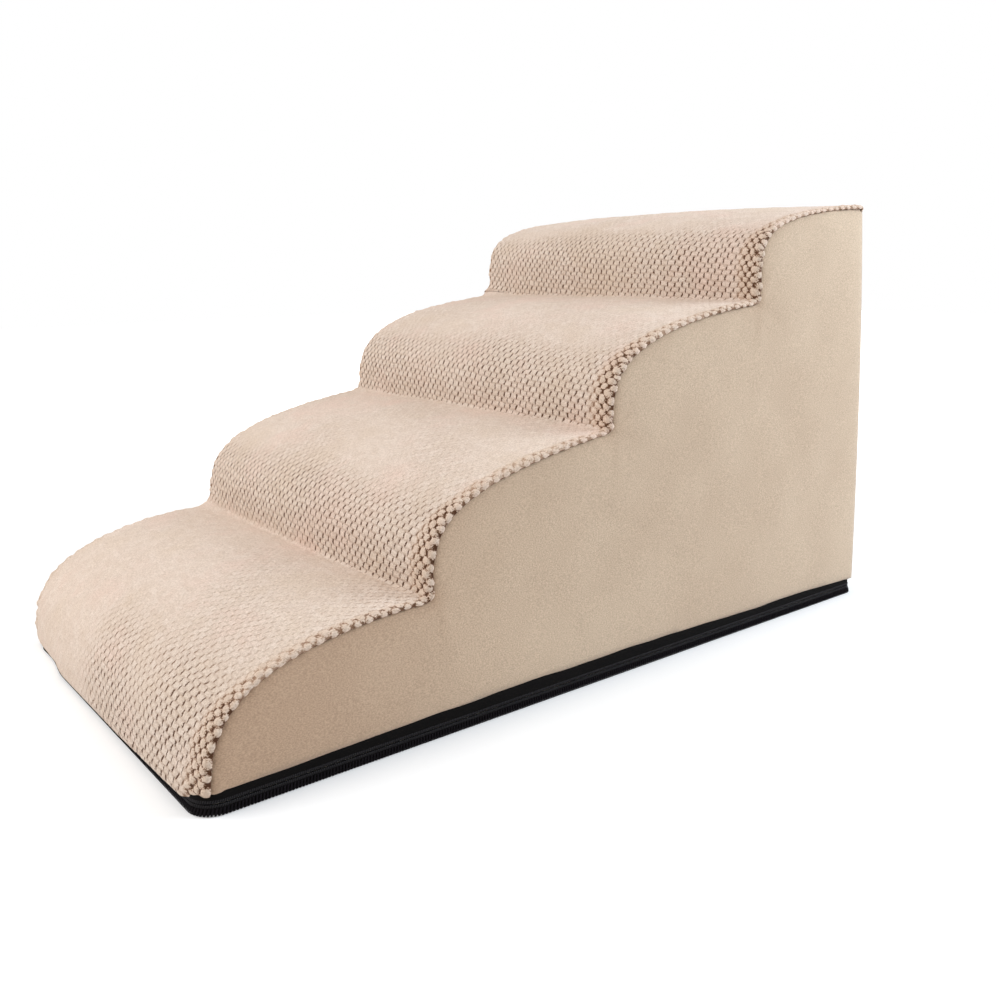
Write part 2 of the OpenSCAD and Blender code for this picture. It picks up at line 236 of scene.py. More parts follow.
def bend(i, t):
    """The angle along a step's curve, with points closer where it turns more."""
    a, b = t ** (NOSES[i] / 2), (1 - t) ** (TREADS[i] / 2)
    return np.pi / 2 * a / (a + b)


def run_of(line):
    """Unit vectors along lines of points, one line per column."""
    d = np.gradient(line, axis=1)
    return d / np.maximum(np.linalg.norm(d, axis=-1, keepdims=True), 1e-9)


def left_of(run):
    """The same unit vectors turned a quarter to the left."""
    return np.stack([-run[..., 1], run[..., 0]], -1)


def hanging_lip(x, y, z):
    """How much further forward the strip hangs where it rolls over the front zip."""
    along = eased(x, LIP_FROM, LIP_FROM_W) * (1 - eased(x, LIP_TO, LIP_TO_W))
    return np.maximum(0, y - LIP_Y) * along * (1 - eased(z, LIP_UP, LIP_UP_W))


def outer_line(x, out, crease_r, lip=False):
    """The stepped line moved out, with a fillet in each crease: columns x rows x (y, z)."""
    steps = []
    for i in range(4):
        t = np.linspace(CURVE_END, 1 - CURVE_END, FINE_POINTS)
        fine = step_point(i, bend(i, t), np.array([MEASURED_X]))[0]
        first, final = t[0], t[-1]
        if i > 0:
            first = t[np.argmax(fine[:, 1] > FOOT_Z[i] + (out + crease_r))]
        if i < 3:
            final = t[np.argmax(fine[:, 0] > FOOT_Y[i + 1] - BULGES[i + 1] - out - crease_r)]
        line = step_point(i, bend(i, np.linspace(first, final, STEP_POINTS)), x)
        line = line + out * left_of(run_of(line))
        if i == 0 and lip:
            line[..., 0] -= hanging_lip(x[:, None], line[..., 0], line[..., 1])
        steps.append(line)
    whole = [steps[0]]
    for below, above in zip(steps, steps[1:]):
        a, b = below[:, -1], above[:, 0]
        run_a, run_b = run_of(below[:, -3:])[:, -1], run_of(above[:, :3])[:, 0]
        reach = FILLET_REACH * np.linalg.norm(b - a, axis=-1, keepdims=True)
        t = np.linspace(0, 1, CREASE_POINTS + 2)[1:-1][None, :, None]
        p0, p1, p2, p3 = (q[:, None] for q in (a, a + reach * run_a, b - reach * run_b, b))
        whole.append((1 - t) ** 3 * p0 + 3 * t * (1 - t) ** 2 * p1 + 3 * t * t * (1 - t) * p2
                     + t ** 3 * p3)
        whole.append(above)
    return np.concatenate(whole, 1)


# ---------------------------------------------------------------- the plush strip
PELLET_W = 8.8                  # pitch of the pellets across the strip
ROW = 5.1                       # pitch of their rows along it
LINES_A_ROW = 3                 # lines of points that make up one row
SPARE_LINES = 60                # more of them at each end, for the rows' climb
FOOT_POINTS = 40                # the toe's first points, where the strip's lower end lies
ROW_CLIMB = math.tan(math.radians(3.9))     # slope at which the rows climb to the left
GAP_SLANT = 0.20                # lean of the gaps between neighbours in a row
KNOB_R = 4.7                    # reach of one knob where the pile stands open
KNOB_H = 3.3                    # its height
KNOB_POWER = 0.62               # 1 is a round dome, and less is blunter
FLAT_H = 0.9                    # height of a pellet where the pile lies close
CLOSE_H = 0.7                   # height of the close pile under it
BESIDE_W, BESIDE_DEPTH = 2.6, 0.85      # width and depth of the slope beside such a pellet
ABOVE_W, ABOVE_DEPTH = 1.9, 0.3         # and of the slope above it
PLUSH_OUT = 2.6                 # foam to the bottom of the gaps
SLACK = 0.5                     # height of the whole strip's slow waves
EDGE_R = 2.5                    # radius at which the strip rolls over its right edge
LEFT_EDGE_R = 4.5
EDGE_OUT = 0.4                  # how far the rolls reach past the panels
EDGE_TUCK = 2.2                 # how far the strip runs on past a roll, into the seam
TUCK_IN, TUCK_DOWN = 1.1, 0.4   # which way, for each millimetre of it
FINE_W = 26.4                   # width along each edge where the columns stand closer
FINE_COLUMNS, WIDE_COLUMNS = 18, 120
CREASE_R = 6.5
TOP_ROLL_R, TOP_ROLL_DOWN = 3.0, 2.5    # the turn over the back edge, and how far it goes on
HEM_TURN = 3.5                  # length over which the strip's two ends are turned under
FAR_FILL = [5.0, 2.0, 7.0]      # how far the far end of each crease is filled out
FAR_FILL_AT, FAR_FILL_W = -140, 55      # from where, and how gradually
FAR_FILL_LONG = 9               # half the length along the strip that this takes
# height of the strip's lower end at places across the front
LIP_X = [-201, -150, -125, -105, 50, 80, 100, 145, 176, 186, 194, 201]
LIP_Z = [1.3, 1.3, 2.2, 3.9, 5.0, 5.9, 6.9, 8.0, 9.6, 11.5, 14.2, 15.5]


def knob_height(u, v):
    """Height from 0 to 1 of the staggered knobs at a place in pitches and rows."""
    near = np.full(u.shape, 1e9)
    for dr in (0, 1):
        row = np.floor(v) + dr
        du = u - 0.5 * np.mod(row, 2)
        dx = (du - np.round(du)) * PELLET_W
        dy = (v - row) * ROW
        near = np.minimum(near, dx * dx + dy * dy)
    return np.clip(1 - near / KNOB_R ** 2, 0, 1) ** KNOB_POWER


def brick_height(u, v):
    """Height from 0 to 1 of the same pellets where they lie close, as staggered bricks."""
    row = np.round(v)
    dy = (v - row) * ROW
    dx = (u - 0.5 * np.mod(row, 2)) * PELLET_W - GAP_SLANT * dy
    dx -= np.round(dx / PELLET_W) * PELLET_W
    beside = smooth_step((PELLET_W / 2 - np.abs(dx)) / BESIDE_W)
    above = smooth_step((ROW / 2 - np.abs(dy)) / ABOVE_W)
    return 1 - BESIDE_DEPTH * (1 - beside) - ABOVE_DEPTH * (1 - above)


def rolled_end(line):
    """The line carried over the back edge: a quarter turn or so, then straight down."""
    end, run = line[:, -1], run_of(line[:, -3:])[:, -1]
    up = left_of(run)
    turn = np.arctan2(run[:, 1], run[:, 0]) + math.pi / 2
    angle = turn[:, None] * np.linspace(0, 1, 9)[None, 1:]
    c, s = np.cos(angle)[..., None], np.sin(angle)[..., None]
    roll = (end - TOP_ROLL_R * up)[:, None] + TOP_ROLL_R * (c * up[:, None] + s * run[:, None])
    shares = np.array([0.5, 1.0])[None, :, None]
    last = roll[:, -1:] + np.array([0.0, -1.0]) * shares * TOP_ROLL_DOWN
    return np.concatenate([line, roll, last], 1)


def strip_section():
    """The strip's columns: level, rolled a quarter turn at each edge, then in to the seam.

    For each column: its length across the strip, its x, how far it drops, how far its pile
    leans sideways and stands up, where the level part ends and how much it lies in the seam.
    """
    left, right = (HALF_W - r + EDGE_OUT + r * math.pi / 2 + EDGE_TUCK
                   for r in (LEFT_EDGE_R, EDGE_R))
    wide = np.concatenate([
        np.linspace(-left, FINE_W - left, FINE_COLUMNS + 1)[:-1],
        np.linspace(FINE_W - left, right - FINE_W, WIDE_COLUMNS + 1)[:-1],
        np.linspace(right - FINE_W, right, FINE_COLUMNS + 1)])
    radius = np.where(wide > 0, EDGE_R, LEFT_EDGE_R)
    level = HALF_W - radius + EDGE_OUT
    over = np.maximum(np.abs(wide) - level, 0)
    turn = np.minimum(over / radius, math.pi / 2)
    tuck = np.maximum(over - radius * math.pi / 2, 0)
    x = np.sign(wide) * (np.minimum(np.abs(wide), level) + radius * np.sin(turn)
                         - TUCK_IN * tuck)
    drop = radius * (1 - np.cos(turn)) + TUCK_DOWN * tuck
    at_seam = smooth_step((np.abs(wide) - level - radius * 1.1) / 1.6)
    return wide, x, drop, np.sign(wide) * np.sin(turn), np.cos(turn), level, at_seam


def open_edge(places, wide, level, steep):
    """1 along the edges, where the pile stands in separate knobs, and 0 where it lies close.

    The band of knobs is wider on the right, and wider still where the strip is steep.
    """
    from_edge = (level + 3 - np.abs(wide))[:, None]
    right_side = (wide > 0)[:, None]
    whole = np.where(right_side, 2.5 + 10 * steep, 1.0)
    fade = np.where(right_side, 4 + 12 * steep ** 1.5, 3)
    edge = 1 - eased(from_edge, whole, fade)
    return np.clip(edge * (0.9 + 0.15 * waves(places, (3, 8), 17)), 0, 1)


def gap_depths(places, wide, steep, height):
    """Depth of the gaps between close pellets: shallow on the treads, deep on the risers."""
    gap = np.clip(0.21 + 0.82 * eased(steep, 0.4, 0.4) + 0.25 * eased(steep, 0.82, 0.16)
                  + 0.13 * waves(places, (6, 26), 18), 0.08, 1.3)
    # the pile of the lowest step is combed flatter, most of all toward the far side
    on_toe = 1 - eased(height, RISES[0], 20)
    far = 75 - 130 * (1 - eased(height, 0, 70)) - wide[:, None]
    combed = smooth_step(0.25 + 0.36 * waves(places, (9, 22), 19, 7)
                         + 1.5 * smooth_step(far / 190))
    gap = gap * (1 - 0.68 * on_toe * combed) + 0.15 * on_toe * (1 - combed)
    return gap * (1 - 0.5 * on_toe * smooth_step((80 - wide) / 170)[:, None])


def strip_faces(number, low, high):
    """Faces between neighbouring columns, each of which is used from low to high."""
    faces = []
    for i in range(len(number) - 1):
        a, b = max(low[i], low[i + 1]), min(high[i], high[i + 1])
        p, q = number[i], number[i + 1]
        faces += [(p[j], q[j], q[j + 1], p[j + 1]) for j in range(a, b)]
        for j in range(min(low[i], low[i + 1]), a):
            faces.append((p[j], q[a], p[j + 1]) if low[i] < low[i + 1] else (p[a], q[j], q[j + 1]))
        for j in range(b, max(high[i], high[i + 1])):
            faces.append((p[j], q[b], p[j + 1]) if high[i] > high[i + 1]
                         else (p[b], q[j], q[j + 1]))
    return faces


def make_plush(material):
    """The one strip of pelleted plush over all four steps."""
    wide, x, drop, lean_x, lean_n, level, at_seam = strip_section()
    line = rolled_end(outer_line(np.clip(x, -HALF_W, HALF_W), PLUSH_OUT, CREASE_R, lip=True))
    out = left_of(run_of(line))
    # lengths along the strip are taken at one column, so that rows stay in step across it
    length = lengths_along(rolled_end(outer_line(np.array([MEASURED_X]), PLUSH_OUT,
                                                 CREASE_R))[0])
    total = length[-1]

    # the lines of points, cut off at the strip's two ends
    pitch = ROW / LINES_A_ROW
    rows = np.arange(-SPARE_LINES, int(total / pitch) + SPARE_LINES)
    first = np.array([np.interp(h, line[k, :FOOT_POINTS, 1], length[:FOOT_POINTS])
                      for k, h in enumerate(np.interp(x, LIP_X, LIP_Z))])
    s = rows[None, :] * pitch - (wide * ROW_CLIMB)[:, None]
    inside = (s > first[:, None]) & (s < total)
    low = np.argmax(inside, 1)
    high = inside.shape[1] - 1 - np.argmax(inside[:, ::-1], 1)
    s[np.arange(len(x)), low] = first
    s[np.arange(len(x)), high] = total

    index = np.interp(s, length, np.arange(len(length)))
    k0 = np.clip(index.astype(int), 0, len(length) - 2)
    f = (index - k0)[..., None]
    col = np.arange(len(x))[:, None]
    base = line[col, k0] * (1 - f) + line[col, k0 + 1] * f
    normal = out[col, k0] * (1 - f) + out[col, k0 + 1] * f
    normal /= np.linalg.norm(normal, axis=-1, keepdims=True)

    # the lattice, a little uneven, as knitted pile is
    u = np.broadcast_to((wide / PELLET_W)[:, None], s.shape).copy()
    v = np.broadcast_to(rows[None, :] / LINES_A_ROW, s.shape).copy()
    places = np.stack([u, v * ROW / PELLET_W], -1)
    u += 0.07 * waves(places, (2.5, 9), 11) + 0.05 * waves(places, (1.2, 2.4), 12)
    v += 0.12 * waves(places, (2.5, 9), 13) + 0.11 * waves(places, (1.2, 2.4), 14)

    steep = np.clip(-normal[..., 0], 0, 1)
    edge = open_edge(places, wide, level, steep)
    gap = gap_depths(places, wide, steep, base[..., 1])
    uneven = 1 + 0.2 * waves(places, (1.5, 4), 15)
    lift = uneven * (edge * KNOB_H * (0.4 + 0.6 * steep) * knob_height(u, v)
                     + (1 - edge) * (CLOSE_H + FLAT_H * gap * brick_height(u, v)))
    lift += SLACK * waves(places, (9, 26), 16)
    at_far = smooth_step((FAR_FILL_AT - wide) / FAR_FILL_W)[:, None]
    for i, filled_by in enumerate(FAR_FILL):
        crease = length[(i + 1) * STEP_POINTS + i * CREASE_POINTS + CREASE_POINTS // 2]
        lift += filled_by * at_far * np.exp(-((s - crease) / FAR_FILL_LONG) ** 2)
    end = np.minimum(s - first[:, None], total - s)
    lift = lift * (smooth_step(end / HEM_TURN) * 0.9 + 0.1)

    point = base - normal * drop[:, None, None]
    y = point[..., 0] + normal[..., 0] * lift * lean_n[:, None]
    z = point[..., 1] + normal[..., 1] * lift * lean_n[:, None]
    points = np.stack([x[:, None] + lift * lean_x[:, None], y, z], -1)

    order = np.arange(s.shape[1])[None, :]
    used = (order >= low[:, None]) & (order <= high[:, None])
    number = -np.ones(s.shape, int)
    number[used] = np.arange(used.sum())
    made = piece("plush_strip", points[used], strip_faces(number, low, high), "stair_cover",
                 "plush", material, ["plush_step_strip"])
    point_value(made, "pellet_place", np.stack([u[used], v[used], 0 * u[used]], -1),
                "FLOAT_VECTOR")
    point_value(made, "open_pile", edge[used])
    # where the strip lies in the seam, which also deepens the plush's painted shade there
    point_value(made, "at_seam", np.broadcast_to(at_seam[:, None], s.shape)[used])
    # the plush's painted shade in the slits is scaled by this depth too
    point_value(made, "gap_depth", gap[used])


# ---------------------------------------------------------------- material tools
FLOAT, VECTOR = "NodeSocketFloat", "NodeSocketVector"


def group(name, inputs, outputs):
    """A new shader node group with its sockets: (name, kind, start value)."""
    made = bpy.data.node_groups.new(name, "ShaderNodeTree")
    for title, kind, start in inputs:
        made.interface.new_socket(title, in_out="INPUT", socket_type=kind).default_value = start
    for title, kind in outputs:
        made.interface.new_socket(title, in_out="OUTPUT", socket_type=kind)
    return made, made.nodes.new("NodeGroupInput"), made.nodes.new("NodeGroupOutput")


def placed_group(tree, made, **values):
    """A group placed in a tree with its own values."""
    node = tree.nodes.new("ShaderNodeGroup")
    node.node_tree = made
    for title, value in values.items():
        node.inputs[title].default_value = value
    return node


def math_node(tree, kind, a, b=None, c=None, clamp=False):
    """A sum of up to three values, each a number or a socket."""
    node = tree.nodes.new("ShaderNodeMath")
    node.operation = kind
    node.use_clamp = clamp
    for k, value in enumerate((a, b, c)):
        if value is None:
            continue
        if isinstance(value, (int, float)):
            node.inputs[k].default_value = value
        else:
            tree.links.new(value, node.inputs[k])
    return node.outputs[0]


def mix_colour(tree, share, a, b, kind="MIX"):
    """Two colours mixed by a share, each a tuple or a socket."""
    node = tree.nodes.new("ShaderNodeMix")
    node.data_type = "RGBA"
    node.blend_type = kind
    node.clamp_factor = True
    for socket, value in ((node.inputs[0], share), (node.inputs[6], a), (node.inputs[7], b)):
        if isinstance(value, (int, float)):
            socket.default_value = value
        elif isinstance(value, (tuple, list)):
            socket.default_value = (*value, 1.0)
        else:
            tree.links.new(value, socket)
    return node.outputs[2]


def place(tree):
    """Where on the object a point is, in metres."""
    return tree.nodes.new("ShaderNodeTexCoord").outputs["Object"]


def noise(tree, where, scale, detail=2.0, roughness=0.5):
    """Soft random patches, scale of them to the metre."""
    node = tree.nodes.new("ShaderNodeTexNoise")
    node.noise_dimensions = "3D"
    tree.links.new(where, node.inputs["Vector"])
    node.inputs["Scale"].default_value = scale
    node.inputs["Detail"].default_value = detail
    node.inputs["Roughness"].default_value = roughness
    return node.outputs["Fac"]


def spread(tree, value, low, high, to_low=0.0, to_high=1.0):
    """A value between low and high, spread over another range and held at its ends."""
    node = tree.nodes.new("ShaderNodeMapRange")
    node.clamp = True
    tree.links.new(value, node.inputs[0])
    for k, number in enumerate((low, high, to_low, to_high)):
        node.inputs[k + 1].default_value = number
    return node.outputs[0]


def bump(tree, shader, height, distance, strength):
    """Bumps of a height, whose full height is a distance in metres."""
    node = tree.nodes.new("ShaderNodeBump")
    node.inputs["Distance"].default_value = distance
    node.inputs["Strength"].default_value = strength
    tree.links.new(height, node.inputs["Height"])
    tree.links.new(node.outputs[0], shader.inputs["Normal"])


def stored(tree, name, output="Fac"):
    """A value that was stored at the piece's points."""
    node = tree.nodes.new("ShaderNodeAttribute")
    node.attribute_name = name
    return node.outputs[output]


def new_material(name, roughness, **sockets):
    """A material, its tree and its shader, with values for the shader's own sockets."""
    material = bpy.data.materials.new(name)
    material.use_nodes = True
    tree = material.node_tree
    shader = tree.nodes["Principled BSDF"]
    shader.inputs["Roughness"].default_value = roughness
    for title, value in sockets.items():
        shader.inputs[title.replace("_", " ")].default_value = value
    return material, tree, shader


# ---------------------------------------------------------------- shared effects
def pellet_field_group():
    """The staggered pellets: the gap beside each, the line above it, its dome and its tint."""
    tree, inp, out = group("pellet_field", [("Place", VECTOR, (0, 0, 0)),
                                            ("Ragged", FLOAT, 0.0)],
                           [("Gap", FLOAT), ("Line", FLOAT), ("Dome", FLOAT), ("Tint", FLOAT)])
    parts = tree.nodes.new("ShaderNodeSeparateXYZ")
    tree.links.new(inp.outputs["Place"], parts.inputs[0])
    u, v = parts.outputs[0], parts.outputs[1]

    def sums(kind, a, b=None, c=None, clamp=False):
        return math_node(tree, kind, a, b, c, clamp)

    def half_of(row):
        return sums("MULTIPLY", sums("FLOORED_MODULO", row, 2.0), 0.5)

    # close pile: the millimetres to the side and the top of the brick that the place is on
    row = sums("ROUND", v)
    dy = sums("MULTIPLY", sums("SUBTRACT", v, row), ROW)
    dx = sums("MULTIPLY_ADD", dy, -GAP_SLANT,
              sums("MULTIPLY", sums("SUBTRACT", u, half_of(row)), PELLET_W))
    cell = sums("ROUND", sums("DIVIDE", dx, PELLET_W))
    dx = sums("MULTIPLY_ADD", cell, -PELLET_W, dx)
    beside = sums("SUBTRACT", PELLET_W / 2, sums("ABSOLUTE", dx))
    above = sums("SUBTRACT", ROW / 2, sums("ABSOLUTE", dy))
    beside = sums("ADD", beside, inp.outputs["Ragged"])
    above = sums("ADD", above, inp.outputs["Ragged"])
    taper = spread(tree, above, 0.0, 1.1, 0.35, 1.0)
    tree.links.new(sums("MULTIPLY", spread(tree, beside, 0.1, 1.0, 1.0, 0.0), taper),
                   out.inputs["Gap"])
    tree.links.new(spread(tree, above, 0.0, 1.0, 1.0, 0.0), out.inputs["Line"])
    # open pile: the dome of a knob reaches over two rows
    floor_v = sums("FLOOR", v)
    found = []
    for dr in (0.0, 1.0):
        near_row = sums("ADD", floor_v, dr)
        du = sums("SUBTRACT", u, half_of(near_row))
        kx = sums("MULTIPLY", sums("SUBTRACT", du, sums("ROUND", du)), PELLET_W)
        ky = sums("MULTIPLY", sums("SUBTRACT", v, near_row), ROW)
        found.append(sums("ADD", sums("MULTIPLY", kx, kx), sums("MULTIPLY", ky, ky)))
    dome = sums("SUBTRACT", 1.0, sums("DIVIDE", sums("MINIMUM", *found), KNOB_R ** 2),
                clamp=True)
    tree.links.new(dome, out.inputs["Dome"])
    # one random tint for each pellet
    joined = tree.nodes.new("ShaderNodeCombineXYZ")
    tree.links.new(sums("ADD", cell, half_of(row)), joined.inputs[0])
    tree.links.new(row, joined.inputs[1])
    white = tree.nodes.new("ShaderNodeTexWhiteNoise")
    white.noise_dimensions = "2D"
    tree.links.new(joined.outputs[0], white.inputs["Vector"])
    split = tree.nodes.new("ShaderNodeSeparateColor")
    tree.links.new(white.outputs["Color"], split.inputs[0])
    tree.links.new(split.outputs[0], out.inputs["Tint"])
    return tree


def nap_group():
    """Short nap: a fine height and soft patches where the pile lies another way."""
    tree, inp, out = group("nap", [("Fibre", FLOAT, 900.0), ("Patch", FLOAT, 14.0)],
                           [("Height", FLOAT), ("Patches", FLOAT)])
    where = place(tree)
    combed = tree.nodes.new("ShaderNodeMapping")
    combed.inputs["Scale"].default_value = (1.0, 0.62, 1.0)     # fibres lie along the stairs
    tree.links.new(where, combed.inputs["Vector"])
    for title, source, detail, target in (("Fibre", combed.outputs[0], 3.0, "Height"),
                                          ("Patch", where, 4.0, "Patches")):
        node = tree.nodes.new("ShaderNodeTexNoise")
        tree.links.new(source, node.inputs["Vector"])
        tree.links.new(inp.outputs[title], node.inputs["Scale"])
        node.inputs["Detail"].default_value = detail
        node.inputs["Roughness"].default_value = 0.62
        tree.links.new(node.outputs["Fac"], out.inputs[target])
    return tree


def weave_group():
    """A plain weave over the object's own axes, for tapes and grip cloth."""
    tree, inp, out = group("weave", [("Threads", FLOAT, 1600.0)], [("Height", FLOAT)])
    parts = tree.nodes.new("ShaderNodeSeparateXYZ")
    tree.links.new(place(tree), parts.inputs[0])
    x, y, z = parts.outputs
    warp = math_node(tree, "ADD", x, y)
    weft = math_node(tree, "ADD", z, math_node(tree, "SUBTRACT", x, y))
    ridges = [math_node(tree, "SINE", math_node(tree, "MULTIPLY", way, inp.outputs["Threads"]))
              for way in (warp, weft)]
    tree.links.new(math_node(tree, "MULTIPLY_ADD", math_node(tree, "MULTIPLY", *ridges),
                             0.5, 0.5), out.inputs["Height"])
    return tree


# ---------------------------------------------------------------- materials
PILE, PILE_PALE = (0.79, 0.65, 0.55), (0.85, 0.72, 0.625)
PILE_ROSY, PILE_SANDY = (0.86, 0.665, 0.57), (0.79, 0.645, 0.525)
PILE_ROOTS, PILE_TIPS = (0.75, 0.715, 0.68), (1.0, 1.0, 1.0)    # tones over those colours
# painted shade seen down between the pellets: half shade, then deep shade
PAINTED_HALF_SHADE, PAINTED_DEEP_SHADE = (0.42, 0.25, 0.155), (0.085, 0.032, 0.013)
OPEN_TONE = (0.93, 0.87, 0.80)
SUEDE, SUEDE_PALE = (0.58, 0.43, 0.305), (0.655, 0.50, 0.36)
# painted shade of the suede along its seams, round the inner corners and toward the toe
SUEDE_PAINTED_SHADE = (0.484, 0.297, 0.187)
NAP_ROOTS, NAP_TIPS = (0.76, 0.745, 0.73), (1.06, 1.06, 1.06)
FOAM, FOAM_PALE = (0.88, 0.775, 0.56), (0.94, 0.85, 0.66)
# painted shade inside the foam's pores
FOAM_PORE_SHADE = (0.64, 0.52, 0.34)
NYLON, NYLON_PALE = (0.005, 0.0035, 0.005), (0.013, 0.011, 0.013)
ENAMEL, RUBBED_METAL = (0.022, 0.022, 0.024), (0.32, 0.31, 0.30)
GRIP_BLACK, TAPE_BLACK = (0.010, 0.009, 0.009), (0.0035, 0.0028, 0.0026)
THREAD_BLACK = (0.0075, 0.0058, 0.0075)


def painted_shade_between_pellets(tree, depth, pile):
    """Painted shade of the pile seen down between the pellets: brown in half shade, then nearly
    black.
    """
    brown = mix_colour(tree, spread(tree, depth, 0.02, 0.75), pile, PAINTED_HALF_SHADE)
    return mix_colour(tree, spread(tree, depth, 0.45, 1.0), brown, PAINTED_DEEP_SHADE)


def plush_material(pellets, nap):
    """Pelleted plush: fuzzy pellets with painted shade in dark slits, and separate knobs along the
    edges.
    """
    material, tree, shader = new_material("pelleted_plush", 0.95, Sheen_Weight=0.16,
                                          Sheen_Roughness=0.6, Specular_IOR_Level=0.15,
                                          Sheen_Tint=(1.0, 0.84, 0.72, 1))
    fibres = placed_group(tree, nap, Fibre=950.0, Patch=13.0)
    fuzz = math_node(tree, "SUBTRACT", fibres.outputs["Height"], 0.5)
    field = placed_group(tree, pellets)
    tree.links.new(stored(tree, "pellet_place", "Vector"), field.inputs["Place"])
    tree.links.new(math_node(tree, "MULTIPLY", fuzz, 3.0), field.inputs["Ragged"])
    open_pile, depth = stored(tree, "open_pile"), stored(tree, "gap_depth")
    # the pile: a tint for each pellet, rosy and sandy patches, darker roots
    pile = mix_colour(tree, field.outputs["Tint"], PILE, PILE_PALE)
    patches = fibres.outputs["Patches"]
    pile = mix_colour(tree, spread(tree, patches, 0.5, 0.68, 0.0, 0.7), pile, PILE_ROSY)
    pile = mix_colour(tree, spread(tree, patches, 0.48, 0.34, 0.0, 0.6), pile, PILE_SANDY)
    specks = mix_colour(tree, spread(tree, fibres.outputs["Height"], 0.36, 0.64), PILE_ROOTS,
                        PILE_TIPS)
    pile = mix_colour(tree, 1.0, pile, specks, "MULTIPLY")
    # closed pile: painted shade, as dark slits beside the pellets and faint lines between rows
    slit = math_node(tree, "MAXIMUM", field.outputs["Gap"],
                     math_node(tree, "MULTIPLY", field.outputs["Line"], 0.2))
    closed = math_node(tree, "MULTIPLY", math_node(tree, "MULTIPLY", slit, depth),
                       math_node(tree, "SUBTRACT", 1.0, open_pile), clamp=True)
    seen = painted_shade_between_pellets(tree, closed, pile)
    # open pile: painted shade, as near-black depths between separate knobs, with more of it where
    # the strip lies in the seam
    ragged = math_node(tree, "MULTIPLY_ADD", fuzz, 1.5, field.outputs["Dome"])
    ragged = math_node(tree, "MULTIPLY_ADD", stored(tree, "at_seam"), -0.3, ragged)
    holes = math_node(tree, "MULTIPLY", spread(tree, ragged, 0.36, 0.73, 1.2, 0.0), open_pile)
    seen = mix_colour(tree, math_node(tree, "MULTIPLY", open_pile, 0.7), seen, OPEN_TONE,
                      "MULTIPLY")
    opened = math_node(tree, "MAXIMUM", spread(tree, depth, 0.15, 0.8, 0.5, 1.0),
                       stored(tree, "at_seam"))
    seen = painted_shade_between_pellets(tree, math_node(tree, "MULTIPLY", holes, opened), seen)
    tree.links.new(seen, shader.inputs["Base Color"])
    # fibres, less the slits, plus the knobs' domes
    height = math_node(tree, "SUBTRACT",
                       math_node(tree, "MULTIPLY", fibres.outputs["Height"], 0.45), closed)
    height = math_node(tree, "MULTIPLY_ADD", field.outputs["Dome"],
                       math_node(tree, "MULTIPLY", open_pile, 0.8), height)
    bump(tree, shader, height, 0.0013, 0.8)
    return material


def suede_material(nap):
    """Short-napped suede cloth, with painted shade darkening it near its seams and toward the toe.
    """
    material, tree, shader = new_material("suede_cloth", 0.92, Sheen_Weight=0.3,
                                          Sheen_Roughness=0.5, Specular_IOR_Level=0.2,
                                          Sheen_Tint=(1.0, 0.93, 0.86, 1))
    fibres = placed_group(tree, nap, Fibre=1100.0, Patch=7.0)
    body = mix_colour(tree, spread(tree, fibres.outputs["Patches"], 0.32, 0.68), SUEDE,
                      SUEDE_PALE)
    flecks = mix_colour(tree, spread(tree, fibres.outputs["Height"], 0.34, 0.66), NAP_ROOTS,
                        NAP_TIPS)
    # painted shade: the stored value mixes the suede toward a darker colour
    shaded = mix_colour(tree, stored(tree, "suede_painted_shade"), body, SUEDE_PAINTED_SHADE)
    tree.links.new(mix_colour(tree, 1.0, shaded, flecks, "MULTIPLY"),
                   shader.inputs["Base Color"])
    bump(tree, shader, fibres.outputs["Height"], 0.0006, 0.6)
    return material


def foam_material():
    """Cut foam with open pores, with painted shade darkening the inside of each pore."""
    material, tree, shader = new_material("cut_foam", 0.95, Specular_IOR_Level=0.2)
    where = place(tree)
    cells = tree.nodes.new("ShaderNodeTexVoronoi")
    cells.feature = "F1"
    tree.links.new(where, cells.inputs["Vector"])
    cells.inputs["Scale"].default_value = 900.0
    pores = spread(tree, cells.outputs["Distance"], 0.15, 0.6)
    tone = mix_colour(tree, noise(tree, where, 12.0, 3.0), FOAM, FOAM_PALE)
    # painted shade: darker toward the middle of each pore
    tree.links.new(mix_colour(tree, pores, FOAM_PORE_SHADE, tone), shader.inputs["Base Color"])
    bump(tree, shader, pores, 0.0005, 0.7)
    return material


def black_cloth_material(name, weave, threads, colour):
    """Black woven cloth or thread with a little dust on it."""
    material, tree, shader = new_material(name, 0.85, Specular_IOR_Level=0.08)
    cloth = placed_group(tree, weave, Threads=threads)
    dust = noise(tree, place(tree), 35.0, 5.0, 0.65)
    pale = tuple(2.5 * c for c in colour)
    worn = mix_colour(tree, spread(tree, dust, 0.4, 0.8, 0.0, 0.6), colour, pale)
    tree.links.new(mix_colour(tree, cloth.outputs["Height"], colour, worn),
                   shader.inputs["Base Color"])
    bump(tree, shader, cloth.outputs["Height"], 0.0003, 0.8)
    return material


def nylon_material():
    """Black nylon of the coils, a little shinier in places."""
    material, tree, shader = new_material("nylon_coil", 0.5, Specular_IOR_Level=0.25)
    where = place(tree)
    tree.links.new(mix_colour(tree, noise(tree, where, 60.0, 3.0), NYLON, NYLON_PALE),
                   shader.inputs["Base Color"])
    tree.links.new(spread(tree, noise(tree, where, 300.0, 2.0), 0.3, 0.7, 0.42, 0.6),
                   shader.inputs["Roughness"])
    return material


